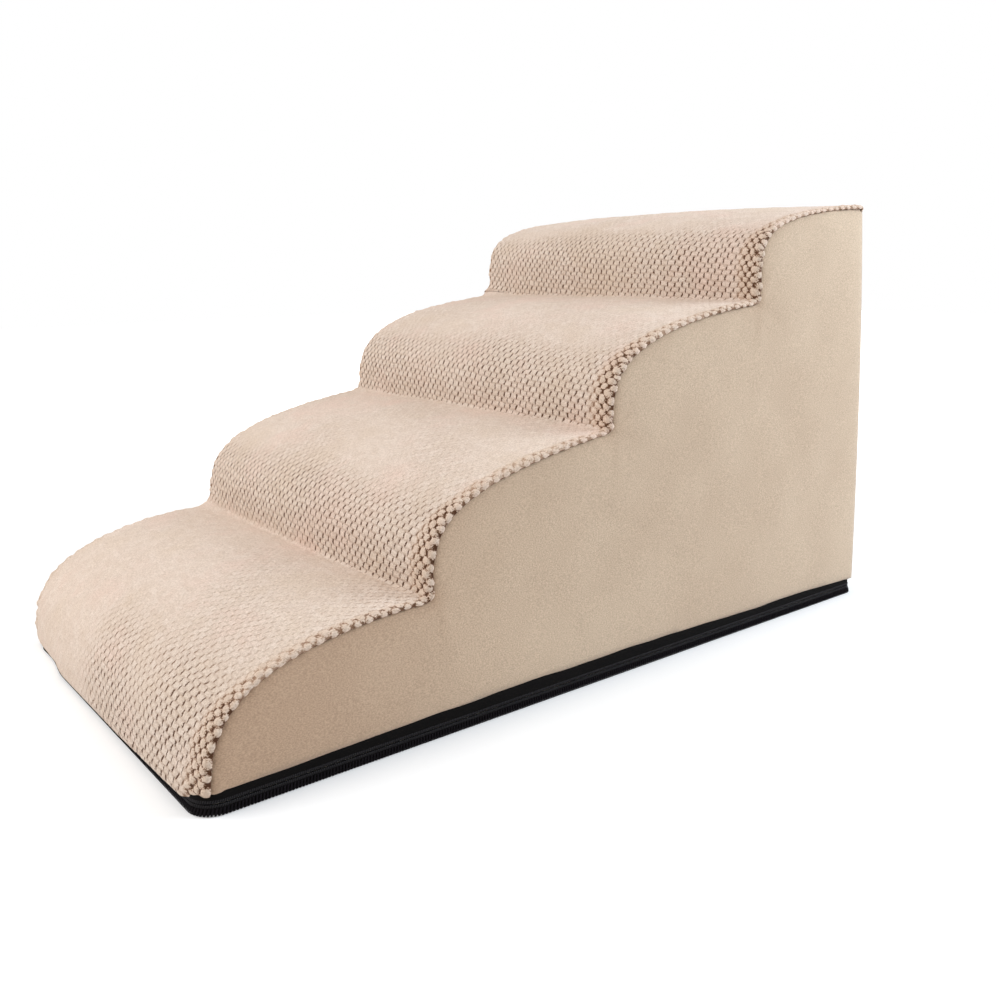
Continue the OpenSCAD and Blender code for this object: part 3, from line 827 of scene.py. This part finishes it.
def enamel_material():
    """Black enamel of the slider, puller and stops, rubbed to the metal in specks."""
    material, tree, shader = new_material("black_enamel", 0.3, Coat_Weight=0.3)
    where = place(tree)
    rubbed = spread(tree, noise(tree, where, 420.0, 4.0, 0.6), 0.66, 0.76)
    tree.links.new(mix_colour(tree, rubbed, ENAMEL, RUBBED_METAL), shader.inputs["Base Color"])
    tree.links.new(rubbed, shader.inputs["Metallic"])
    tree.links.new(spread(tree, noise(tree, where, 900.0, 2.0), 0.3, 0.7, 0.26, 0.42),
                   shader.inputs["Roughness"])
    bump(tree, shader, noise(tree, where, 1500.0, 2.0), 0.0001, 0.3)
    return material


# ---------------------------------------------------------------- sewn flat panels
CLOTH_T = 1.3                   # a panel's outer face to its inner one
SIDE_SINK = 0.6                 # a side panel's edge stands in by this much
BACK_SINK = 0.9                 # and the back panel's edges
PANEL_TOP = TOP_Z + 0.5
SEAM_OUT = 1.2                  # foam to the side seam under the strip's edge
SEAM_CREASE_R = CREASE_R - 1.5
RIGHT_FOOT = 16.5               # where the right seam's foot is, over the zip
SEWN_Y, SEWN_Z = 22.5, 3.1      # the left panel is sewn down to the base in front of here
# height of the sides' lower hem at places along the stairs
HEM_AT = [0, 60, 114, 200, 240, 425, 488, 523, 560, 600, 640, 700, 730]
HEM_UP = [15.5, 16.2, 17.5, 19.3, 20, 20, 18.7, 17.6, 16.8, 17.8, 17.0, 15.0, 14.6]
NOTCHES = [(FOOT_Y[i], FOOT_Z[i]) for i in (1, 2, 3)]


def outline_distance(points, outline, closed=True):
    """Distance of each point from an outline."""
    best = np.full(len(points), 1e9)
    for a, b in zip(outline, np.roll(outline, -1, 0) if closed else outline[1:]):
        d = b - a
        t = np.clip(((points - a) @ d) / max(d @ d, 1e-9), 0, 1)
        best = np.minimum(best, np.linalg.norm(points - a - t[:, None] * d, axis=1))
    return best


def even_outline(points, spacing, closed=True):
    """The same outline with points at about even spacing, and its corners kept."""
    made = []
    ends = np.roll(points, -1, 0) if closed else points[1:]
    for a, b in zip(points, ends):
        count = max(1, int(round(np.linalg.norm(b - a) / spacing)))
        made += [a + (b - a) * k / count for k in range(count)]
    if not closed:
        made.append(points[-1])
    return np.array(made)


def filled(outline, spacing):
    """Points and triangles that fill an outline."""
    low, high = outline.min(0), outline.max(0)
    row_h = spacing * math.sqrt(3) / 2
    grid = np.array([[low[0] + (i + 0.5 * (j % 2)) * spacing, low[1] + j * row_h]
                     for j in range(int((high[1] - low[1]) / row_h) + 1)
                     for i in range(int((high[0] - low[0]) / spacing) + 1)])
    within = np.zeros(len(grid), bool)
    for p, q in zip(outline, np.roll(outline, -1, 0)):
        crosses = (p[1] > grid[:, 1]) != (q[1] > grid[:, 1])
        if crosses.any():
            at = p[0] + (grid[:, 1] - p[1]) * (q[0] - p[0]) / (q[1] - p[1] + 1e-12)
            within ^= crosses & (grid[:, 0] < at)
    grid = grid[within]
    grid = grid[outline_distance(grid, outline) > 0.6 * spacing]
    coords = [Vector(p) for p in np.concatenate([outline, grid])]
    n = len(outline)
    points, _, faces, *_ = delaunay_2d_cdt(coords, [(k, (k + 1) % n) for k in range(n)], [], 1,
                                           1e-5)
    return np.array([p[:] for p in points]), [tuple(f) for f in faces]


def hem_at(y):
    """Height of the sides' lower hem along the stairs."""
    return np.interp(y, HEM_AT, HEM_UP)


def pucker(points):
    """Folds that fan out from the inner corners of the steps."""
    total = np.zeros(len(points))
    for k, (y, z) in enumerate(NOTCHES):
        d = points - (y + 4, z - 1)
        r = np.linalg.norm(d, axis=1)
        angle = np.arctan2(d[:, 1], d[:, 0])
        fade = np.exp(-r / 38) * smooth_step(r / 10)
        total += fade * (np.sin(4.2 * angle + 0.8 * k) + 0.6 * np.sin(9.0 * angle + 2 * k))
    return total


def panel_shell(name, points, faces, lift, lay, material, node):
    """A sewn panel: an outer face with lift, an inner face and the edge between."""
    n = len(points)
    sides = dict.fromkeys((a, b) for f in faces for a, b in zip(f, f[1:] + f[:1]))
    rim = [(a, b) for a, b in sides if (b, a) not in sides]
    both = np.concatenate([lay(points, lift), lay(points, lift - CLOTH_T)])
    all_faces = faces + renumbered(turned(faces), n) + [(b, a, a + n, b + n) for a, b in rim]
    made = piece(name, both, all_faces, "stair_cover", "suede", material, [node])
    width, length = np.ptp(points, 0) * MM
    a, b, c = (points[np.array([f[k] for f in faces])] for k in range(3))
    return made


def make_side_panel(side, title, material):
    """A side panel cut to the stepped line: side is 1 on the right and -1 on the left."""
    top = outer_line(np.array([HALF_W]), SEAM_OUT, SEAM_CREASE_R)[0]
    top = top[top[:, 1] > (RIGHT_FOOT if side > 0 else SEWN_Z)]
    back_z = np.linspace(PANEL_TOP, 15, 60)
    back = np.stack([back_at(back_z) + 2.5, back_z], -1)
    hem_y = np.linspace(back[-1, 0], top[0, 0], 160)[1:-1]
    hem_z = hem_at(hem_y)
    if side < 0:
        hem_z = np.minimum(hem_z, np.interp(hem_y, [SEWN_Y - 3, SEWN_Y], [SEWN_Z, 30]))
    outline = np.concatenate([top, back, np.stack([hem_y, hem_z], -1)])
    outline = even_outline(outline, 3.2)
    points, faces = filled(outline, 4.2)

    # fuller away from its edges, drawn in along the seam, with slack, folds and pulls
    gap = outline_distance(points, outline)
    seam = outline_distance(points, even_outline(top, 3.0, False), False)
    shift = 0 if side > 0 else 40
    lift = 2.0 * (1 - np.exp(-gap / 7)) - 1.4 * np.exp(-seam / 2.2)
    lift += 0.5 * waves(points, (60, 160), 31 + shift) * (1 - np.exp(-gap / 25))
    lift += 0.5 * pucker(points) * (1 - np.exp(-seam / 6))
    lift += 0.28 * np.exp(-seam / 9) * waves(points, (9, 22), 32 + shift)

    def lay(p, out):
        return np.stack([side * (HALF_W - SIDE_SINK + out), p[:, 0], p[:, 1]], -1)
    made = panel_shell(f"{title}_side_suede", points, faces if side > 0 else turned(faces),
                       lift, lay, material, f"{title}_side_panel")

    # painted shade: darker along the seam, round the inner corners and toward the toe
    notch = sum(np.exp(-np.hypot(points[:, 0] - y, points[:, 1] - z) / 26)
                for y, z in NOTCHES)
    shade = np.clip(0.10 * np.exp(-seam / 9) + 0.30 * notch * np.exp(-seam / 14)
                    + 0.6 * (1 - smooth_step(points[:, 0] / 360)), 0, 1)
    point_value(made, "suede_painted_shade", np.tile(shade, 2))


def make_back_panel(material):
    """The back panel, from the zip to the strip's rolled end."""
    half, foot = HALF_W - BACK_SINK, 16.0
    outline = even_outline(np.array([[-half, foot], [half, foot], [half, PANEL_TOP],
                                     [-half, PANEL_TOP]]), 3.6)
    points, faces = filled(outline, 6.0)
    gap = outline_distance(points, outline)
    lift = 2.2 * (1 - np.exp(-gap / 9)) + 0.8 * waves(points, (70, 190), 51) * (
        1 - np.exp(-gap / 30)) + 0.25 * np.exp(-gap / 12) * waves(points, (12, 30), 52)

    def lay(p, out):
        return np.stack([p[:, 0], back_at(p[:, 1]) + FIT + BACK_SINK + out, p[:, 1]], -1)
    panel_shell("back_suede", points, turned(faces), lift, lay, material, "back_panel")


# ---------------------------------------------------------------- foam
SLAB_ROUND = 1.5                # width and depth of the easing along a slab's side edges
SLAB_ROUND_DEEP = 0.3           # what is left of that depth at its inner side
SLAB_EVEN, SLAB_COLUMNS = 190, 45       # half the width between, and its even columns
FACE_POINTS = 22                # points along a slab's level faces
COIL_ROOM, CORNER_ROOM = 2.6, 2.2       # foam to coil, along the sides and in the corners


def level_run(y_from, y_to, z, columns):
    """Points along a level face of a slab, the same in every column."""
    y = np.linspace(y_from, y_to, FACE_POINTS + 2)[1:-1]
    return np.broadcast_to(np.stack([y, np.full(FACE_POINTS, z)], -1),
                           (columns, FACE_POINTS, 2))


def clear_zip(points):
    """Keeps the lowest foam inside the run of the zip, round its corners too."""
    low = points[..., 2] < HEM_Z + 1
    inner = ZIP_SIDE - COIL_T / 2 - COIL_ROOM
    p = points[low]
    p[:, 0] = np.clip(p[:, 0], -inner, inner)
    for y_mid, r, toward in ((ZIP_TOE + FRONT_CORNER, FRONT_CORNER, -1),
                             (ZIP_BACK - BACK_CORNER, BACK_CORNER, 1)):
        reach = r - COIL_T / 2 - CORNER_ROOM
        x_mid = ZIP_SIDE - r
        dx = np.abs(p[:, 0]) - x_mid
        dy = toward * (p[:, 1] - y_mid)
        far = np.hypot(dx, dy)
        out = (dx > 0) & (dy > 0) & (far > reach)
        scale = np.where(out, reach / np.maximum(far, 1e-9), 1)
        p[:, 0] = np.where(out, np.sign(p[:, 0]) * (x_mid + dx * scale), p[:, 0])
        p[:, 1] = np.where(out, y_mid + toward * dy * scale, p[:, 1])
    points[low] = p


def make_slab(i, title, material):
    """One step's slab of cut foam, as rings of points round it, column by column."""
    half = FOAM_W / 2
    xs = np.concatenate([[-half, -half + SLAB_ROUND],
                         np.linspace(-SLAB_EVEN, SLAB_EVEN, SLAB_COLUMNS),
                         [half - SLAB_ROUND, half]])
    inset = np.concatenate([[SLAB_ROUND, SLAB_ROUND_DEEP], np.zeros(SLAB_COLUMNS),
                            [SLAB_ROUND_DEEP, SLAB_ROUND]])
    columns = len(xs)
    front = step_point(i, bend(i, np.linspace(0, 1, 34)), xs)
    under_from = FOOT_Y[i]
    if i == 0:
        foot = front[:, 0]
        keep = front[0, :, 1] > FOAM_Z + FOAM_CUT + 3
        corner = np.stack([foot + (FOAM_CUT, 0), foot + (0.2, FOAM_CUT + 0.5)], 1)
        front = np.concatenate([corner, front[:, keep]], 1)
        under_from += FOAM_CUT
    heights = np.linspace(FOOT_Z[i + 1], FOOT_Z[i], 9)
    back = np.broadcast_to(np.stack([back_at(heights), heights], -1), (columns, 9, 2))
    under = level_run(back_at(FOOT_Z[i]), under_from, FOOT_Z[i], columns)
    over = [level_run(FOOT_Y[i + 1], back_at(FOOT_Z[i + 1]), FOOT_Z[i + 1], columns)]
    ring = np.concatenate([front] + (over if i < 3 else []) + [back, under], 1)
    away = ring - ring.mean(1, keepdims=True)
    ring = ring - away / np.linalg.norm(away, axis=-1, keepdims=True) * inset[:, None, None]
    around = ring.shape[1]
    points = np.concatenate([np.broadcast_to(xs[:, None, None], (columns, around, 1)), ring], -1)
    if i == 0:
        clear_zip(points)
    made = piece(f"foam_{title}_block", points.reshape(-1, 3),
                 turned(swept_faces(columns, around)), "stair_cover", "foam", material,
                 [f"foam_{title}_slab"], smooth=False)


# ---------------------------------------------------------------- the zip
LEFT_END = SLIDER_REST - SLIDER_L / 2 - STOP_L - FIT    # where the zip ends on the left
TAPE_TAIL = 5.0                 # tape past the stops
UPPER_TAIL = 2.8                # upper tape past the line where the left panel is sewn down
HEM_OVERLAP = 1.2               # how far the upper tape reaches up behind the hem
RIB_PITCH, RIB_LEAN = 1.55, 0.9     # ribs of the coil along the zip, and how far each leans
RIB_BULGE = 0.55                # how far a rib stands out in its middle
RIB_R_OUT, RIB_R_ALONG = 0.38, 0.56
COIL_RISE = 2.33                # height of one row
ROW_GAP = 0.32                  # each row's distance from the line between the two


def zip_path(start, end, spacing):
    """The zip's run in plan at even spacing: its points, their outward normals and lengths."""
    line = np.concatenate([
        [[start, ZIP_TOE]],
        arc(ZIP_SIDE - FRONT_CORNER, ZIP_TOE + FRONT_CORNER, FRONT_CORNER, -90, 0, 14),
        arc(ZIP_SIDE - BACK_CORNER, ZIP_BACK - BACK_CORNER, BACK_CORNER, 0, 90, 12),
        arc(-ZIP_SIDE + BACK_CORNER, ZIP_BACK - BACK_CORNER, BACK_CORNER, 90, 180, 12),
        [[-ZIP_SIDE, end]]])
    run = lengths_along(line)
    at = np.linspace(0, run[-1], int(run[-1] / spacing) + 1)
    points = points_at(line, run, at)
    way = np.gradient(points, axis=0)
    way /= np.linalg.norm(way, axis=1, keepdims=True)
    return points, np.stack([way[:, 1], -way[:, 0]], -1), at


def make_tape(name, profile, material, node, body, end, wave, seed, top=None):
    """A woven tape swept along the zip's run.

    The profile is (out, height) pairs, closed. The wave is how far its upper part drifts, and
    top gives the height of the hem over it, where it is sewn to one.
    """
    path, side, at = zip_path(ZIP_X - TAPE_TAIL, end, 3.0)
    profile = np.asarray(profile, float)
    drift = wave * waves(at[:, None], (40, 130), seed)
    rings = []
    for k, (p, s) in enumerate(zip(path, side)):
        height = profile[:, 1].copy()
        if top is not None:
            share = (height - height.min()) / (height.max() - height.min())
            height += share ** 2 * (float(top(p[1])) + HEM_OVERLAP - height.max())
        out = profile[:, 0] + drift[k] * (height - height.min()) / 12
        rings.append(np.concatenate([p + out[:, None] * s, height[:, None]], 1))
    piece(name, rings, swept_faces(len(rings), len(profile)), body, "zip_tape", material,
          [node])


def make_coil(name, low, end, material, node, body):
    """A row of nylon coil, stitched down: slanted ribs that bulge outward."""
    path, side, _ = zip_path(ZIP_X + STOP_L, end, RIB_PITCH)
    way = np.stack([-side[:, 1], side[:, 0]], -1)
    around, rings = 6, 6
    points, faces = [], []
    for p, s, w in zip(path[1:-1], side[1:-1], way[1:-1]):
        faces += swept_faces(rings, around, start=len(points))
        for r in range(rings):
            t = r / (rings - 1)
            bulge = math.sin(math.pi * (0.12 + 0.76 * t))
            for k in range(around):
                a = 2 * math.pi * k / around
                c = p + s * (RIB_BULGE * bulge + RIB_R_OUT * math.cos(a)) + w * (
                    RIB_LEAN * (t - 0.5) + RIB_R_ALONG * math.sin(a))
                points.append((c[0], c[1], low + COIL_RISE * t))
    piece(name, points, faces, body, "zip_coil", material, [node])


# ---------------------------------------------------------------- the base
FAR_DRAW = 5.0                  # how far the base's far front corner draws back
FAR_CORNER = 22.0               # and its radius
FAR_DRAW_AT, FAR_DRAW_W = -100, 55      # from where along the front, and how gradually
BASE_FOOT = 0.5                 # underside of the cloth, which stands on its dots
# the cloth's edge, from its upper face round to the underside: (inward, height)
BASE_ROUND = [(2.2, BASE_T), (0.6, BASE_T - 0.1), (0.0, BASE_T - 0.7), (0.2, 1.3),
              (1.4, 0.6), (2.4, BASE_FOOT)]
DOT_PITCH, DOT_ROWS = 9.0, 0.866        # grip dots, and their rows' distance in pitches
DOT_RINGS = ((1.7, 0.55), (1.3, 0.15))  # radius and height of a dot's rings
DOT_MARGIN = 9                  # from the base's edges to the first dots
DOT_CORNER, DOT_CORNER_BACK = 22, 16    # corners without dots
STITCH = 2.5                    # pitch of the threads over the edge
THREAD_ALONG, THREAD_OUT = 0.78, 0.32   # half widths of one, along the edge and out
THREAD_LEAN = 1.5
# the thread's course over the edge, where it binds the base alone and the lower tape too
LOW_BIND = [(-1.9, 0.3), (-0.2, 0.3), (0.4, 0.8), (0.45, 1.7), (0.0, 2.6), (-1.2, 2.75)]
HIGH_BIND = [(-1.9, 0.3), (-0.2, 0.3), (0.4, 0.8), (0.45, 2.2), (0.1, 4.0), (-0.5, 5.5)]


def base_plan():
    """The base's outline, whose front edge draws back toward the far corner."""
    x, back, front = HALF_W + BASE_EDGE, BASE_BACK, -BASE_LAP
    near_r, far_r, back_r = FRONT_CORNER + TAPE_T, FAR_CORNER, BACK_CORNER
    edge_x = np.linspace(far_r - x, x - near_r, 60)[1:-1]
    drawn = FAR_DRAW * smooth_step((FAR_DRAW_AT - edge_x) / FAR_DRAW_W)
    return np.concatenate([
        arc(x - near_r, front + near_r, near_r, -90, 0, 12),
        arc(x - back_r, back - back_r, back_r, 0, 90, 10),
        arc(-x + back_r, back - back_r, back_r, 90, 180, 10),
        arc(-x + far_r, front + FAR_DRAW + far_r, far_r, 180, 270, 14),
        np.stack([edge_x, front + drawn], -1)])


def dot_spots():
    """Where the grip dots stand under the base."""
    for j in range(int(BASE_BACK / (DOT_PITCH * DOT_ROWS)) + 1):
        for i in range(int(STAIR_W / DOT_PITCH) + 1):
            x = -HALF_W + (i + 0.5 * (j % 2) + 0.25) * DOT_PITCH
            y = (j + 0.5) * DOT_PITCH * DOT_ROWS
            at_corner = abs(x) > HALF_W - DOT_CORNER and (
                y < DOT_CORNER or y > BASE_BACK - DOT_CORNER_BACK)
            if (-HALF_W + DOT_MARGIN < x < HALF_W - DOT_MARGIN
                    and DOT_MARGIN < y < BASE_BACK - DOT_MARGIN and not at_corner):
                yield x, y


def make_base(material):
    """The grip cloth: two flat faces, a rounded edge between them and dots below."""
    rim = even_outline(base_plan(), 5.0)
    back = np.roll(rim, 1, 0) - np.roll(rim, -1, 0)
    back /= np.linalg.norm(back, axis=1, keepdims=True)
    out = np.stack([-back[:, 1], back[:, 0]], -1)
    n = len(rim)
    points = np.concatenate([np.concatenate([rim - inward * out, np.full((n, 1), z)], 1)
                             for inward, z in BASE_ROUND])
    faces = turned(swept_faces(len(BASE_ROUND), n, ends=False))
    flat, flat_faces = filled(rim - BASE_ROUND[0][0] * out, 18.0)
    for z, its_faces in ((BASE_T - 0.05, flat_faces), (BASE_FOOT, turned(flat_faces))):
        faces += renumbered(its_faces, len(points))
        points = np.concatenate([points, np.concatenate([flat, np.full((len(flat), 1), z)], 1)])
    around = 7
    for x, y in dot_spots():
        start = len(points)
        ring = [(x + r * math.cos(2 * math.pi * k / around),
                 y + r * math.sin(2 * math.pi * k / around), z)
                for r, z in DOT_RINGS for k in range(around)]
        points = np.concatenate([points, ring, [(x, y, 0.0)]])
        tip = start + 2 * around
        for k in range(around):
            a, b = start + k, start + (k + 1) % around
            faces += [(b, a, a + around, b + around), (a + around, tip, b + around)]
    piece("grip_base", points, faces, "base_mat", "grip_fabric", material, ["base_panel"],
          smooth=False)


def make_overlock(material):
    """The slanted threads that bind the base's edge and the lower tape."""
    rim = base_plan()
    closed = np.concatenate([rim, rim[:1]])
    run = lengths_along(closed)
    count = int(run[-1] / STITCH)
    spots = points_at(closed, run, np.arange(count) * run[-1] / count)
    way = np.roll(spots, -1, 0) - np.roll(spots, 1, 0)
    way /= np.linalg.norm(way, axis=1, keepdims=True)
    out = np.stack([way[:, 1], -way[:, 0]], -1)
    around = 5
    points, faces = [], []
    draw = np.random.default_rng(81)
    for p, w, n in zip(spots, way, out):
        bare = p[0] < ZIP_X - TAPE_TAIL and p[1] < LEFT_END - TAPE_TAIL
        course = LOW_BIND if bare else HIGH_BIND
        faces += swept_faces(len(course), around, start=len(points), ends=False)
        lean = THREAD_LEAN + draw.uniform(-0.25, 0.25)
        thick = THREAD_ALONG + draw.uniform(-0.06, 0.06)
        for j, (d, z) in enumerate(course):
            centre = p + d * n + lean * (z / 5.5 - 0.5) * w
            tilt = 0.2 if j in (0, len(course) - 1) else 0
            for k in range(around):
                a = 2 * math.pi * k / around
                q = centre + w * thick * math.cos(a) + n * THREAD_OUT * math.sin(a)
                points.append((q[0], q[1], max(0.02, z + tilt * math.sin(a))))
    piece("base_overlock", points, faces, "base_mat", "grip_fabric", material)


# ---------------------------------------------------------------- stage
FLOOR_HALF = 6.0                            # metres, as the lamps' sizes are too
FLOOR_COLOUR = (0.82, 0.82, 0.82, 1)
GLOW_FROM, GLOW_TO = (0.6, 0.26), (1.5, 1.0)    # the floor's glow: distance, strength
WORLD_LIGHT, WORLD_SEEN = 0.43, 0.57        # its strength, and what is added where it shows
LAMPS = (                                   # name, place, size, watts, colour
    ("key_light", (-0.6, -1.9, 1.6), 1.8, 38.2, (1.0, 0.985, 0.965)),
    ("side_light", (1.1, 1.1, 0.9), 0.9, 22, (0.78, 0.89, 1.0)),
    ("top_light", (0.0, 0.2, 2.6), 1.6, 9.6, (1.0, 1.0, 1.0)))
LAMPS_AIM = Vector((0, 0, 0.15))
EYE_AT = (787.0, -217.0, 347.0)             # the camera, in millimetres from the seam's foot
EYE_TURN = (51.9, 10.3, -0.73)              # degrees round, down and about its own line
FRAME_PX, FOCAL_PX, MIDDLE_PX = 999.0, 1013.0, 450.0
SENSOR_W = 36.0


def seen_by_eye(tree):
    """1 for rays that the eye sees, straight or by way of metal and glass."""
    light = tree.nodes.new("ShaderNodeLightPath")
    return math_node(tree, "MAXIMUM", light.outputs["Is Camera Ray"],
                     math_node(tree, "MAXIMUM", light.outputs["Is Glossy Ray"],
                               light.outputs["Is Transmission Ray"]))


def make_floor():
    """A pale floor that glows to white away from the object."""
    name, far = "studio_floor", FLOOR_HALF
    mesh = bpy.data.meshes.new(name)
    mesh.from_pydata([(-far, -far, 0), (far, -far, 0), (far, far, 0), (-far, far, 0)],
                     [], [(0, 1, 2, 3)])
    floor = bpy.data.objects.new(name, mesh)
    bpy.context.scene.collection.objects.link(floor)
    material, tree, shader = new_material("pale_floor", 0.9, Specular_IOR_Level=0.0,
                                          Base_Color=FLOOR_COLOUR,
                                          Emission_Color=(1, 1, 1, 1))
    measure = tree.nodes.new("ShaderNodeVectorMath")
    measure.operation = "LENGTH"
    tree.links.new(tree.nodes.new("ShaderNodeNewGeometry").outputs["Position"],
                   measure.inputs[0])
    glow = spread(tree, measure.outputs["Value"], GLOW_FROM[0], GLOW_TO[0], GLOW_FROM[1],
                  GLOW_TO[1])
    tree.links.new(math_node(tree, "MULTIPLY", seen_by_eye(tree), glow),
                   shader.inputs["Emission Strength"])
    mesh.materials.append(material)


def make_lights():
    """A white world and three soft lamps."""
    world = bpy.data.worlds.new("studio")
    bpy.context.scene.world = world
    world.use_nodes = True
    tree = world.node_tree
    shade = tree.nodes["Background"]
    tree.links.new(math_node(tree, "MULTIPLY_ADD", seen_by_eye(tree), WORLD_SEEN, WORLD_LIGHT),
                   shade.inputs["Strength"])
    shade.inputs["Color"].default_value = (1, 1, 1, 1)
    for name, where, size, power, colour in LAMPS:
        lamp = bpy.data.lights.new(name, "AREA")
        lamp.size, lamp.energy, lamp.color = size, power, colour
        made = bpy.data.objects.new(name, lamp)
        bpy.context.scene.collection.objects.link(made)
        made.location = where
        made.rotation_euler = (LAMPS_AIM - Vector(where)).to_track_quat("-Z", "Y").to_euler()


def make_camera():
    """The photograph's camera, as fitted to the steps' corners and edges."""
    yaw, pitch, roll = (math.radians(a) for a in EYE_TURN)
    forward = Vector((-math.cos(pitch) * math.sin(yaw), math.cos(pitch) * math.cos(yaw),
                      -math.sin(pitch)))
    level = Vector((math.cos(yaw), math.sin(yaw), 0))
    up = level.cross(forward)
    right = math.cos(roll) * level + math.sin(roll) * up
    up = math.cos(roll) * up - math.sin(roll) * level
    camera = bpy.data.cameras.new("photo_camera")
    made = bpy.data.objects.new("photo_camera", camera)
    bpy.context.scene.collection.objects.link(made)
    spot = Vector((EYE_AT[0], EYE_AT[1] + SHIFT_Y, EYE_AT[2])) * MM
    made.matrix_world = Matrix((
        (right.x, up.x, -forward.x, spot.x), (right.y, up.y, -forward.y, spot.y),
        (right.z, up.z, -forward.z, spot.z), (0, 0, 0, 1)))
    camera.sensor_width = SENSOR_W
    camera.sensor_fit = "HORIZONTAL"
    camera.lens = SENSOR_W * FOCAL_PX / FRAME_PX
    camera.shift_y = (MIDDLE_PX - FRAME_PX / 2) / FRAME_PX
    camera.clip_start = 0.01
    bpy.context.scene.camera = made


# ---------------------------------------------------------------- making
bpy.context.scene.view_settings.view_transform = "Standard"
pellets, nap, weave = pellet_field_group(), nap_group(), weave_group()
plush = plush_material(pellets, nap)
suede = suede_material(nap)
foam = foam_material()
grip = black_cloth_material("grip_cloth", weave, 1500.0, GRIP_BLACK)
tape = black_cloth_material("zip_tape_weave", weave, 3800.0, TAPE_BLACK)
thread = black_cloth_material("edge_thread", weave, 5200.0, THREAD_BLACK)
nylon = nylon_material()
enamel = enamel_material()

make_plush(plush)
make_side_panel(1, "right", suede)
make_side_panel(-1, "left", suede)
make_back_panel(suede)
for number, title in enumerate(("base", "second", "third", "top")):
    make_slab(number, title, foam)
make_base(grip)
make_overlock(thread)
make_tape("upper_tape", [(0.1, 8.9), (0.3, 10.8), (0.35, 11.2), (0.45, 13), (0.3, 15.5),
                         (0.1, HEM_Z), (-0.5, HEM_Z), (-0.3, 15), (-0.4, 11), (-0.7, 8.8)],
          tape, "upper_zip_tape", "stair_cover", SEWN_Y - UPPER_TAIL, 0.1, 150, hem_at)
make_tape("lower_tape", [(0.45, 1.9), (0.5, 3.4), (0.35, 5.2), (0.2, 7.7), (-0.7, 7.9),
                         (-0.4, 5.6), (-0.1, 3.4), (-0.1, 1.9)],
          tape, "lower_zip_tape", "base_mat", LEFT_END - TAPE_TAIL, 0.15, 80)
make_coil("lower_coil", CHAIN_Z - ROW_GAP - COIL_RISE, SLIDER_REST + SLIDER_L / 2 + FIT, nylon,
          "lower_zip_coil", "base_mat")
make_coil("upper_coil", CHAIN_Z + ROW_GAP, LEFT_END + STOP_L, nylon, "upper_zip_coil",
          "stair_cover")
for node in ("zip_start_stop", "lower_end_stop", "upper_end_stop", "slider_body",
             "slider_crown", "slider_lock_leaf", "zip_puller"):
    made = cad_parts[node]
    made.data.materials.clear()
    made.data.materials.append(enamel)
make_floor()
make_lights()
make_camera()
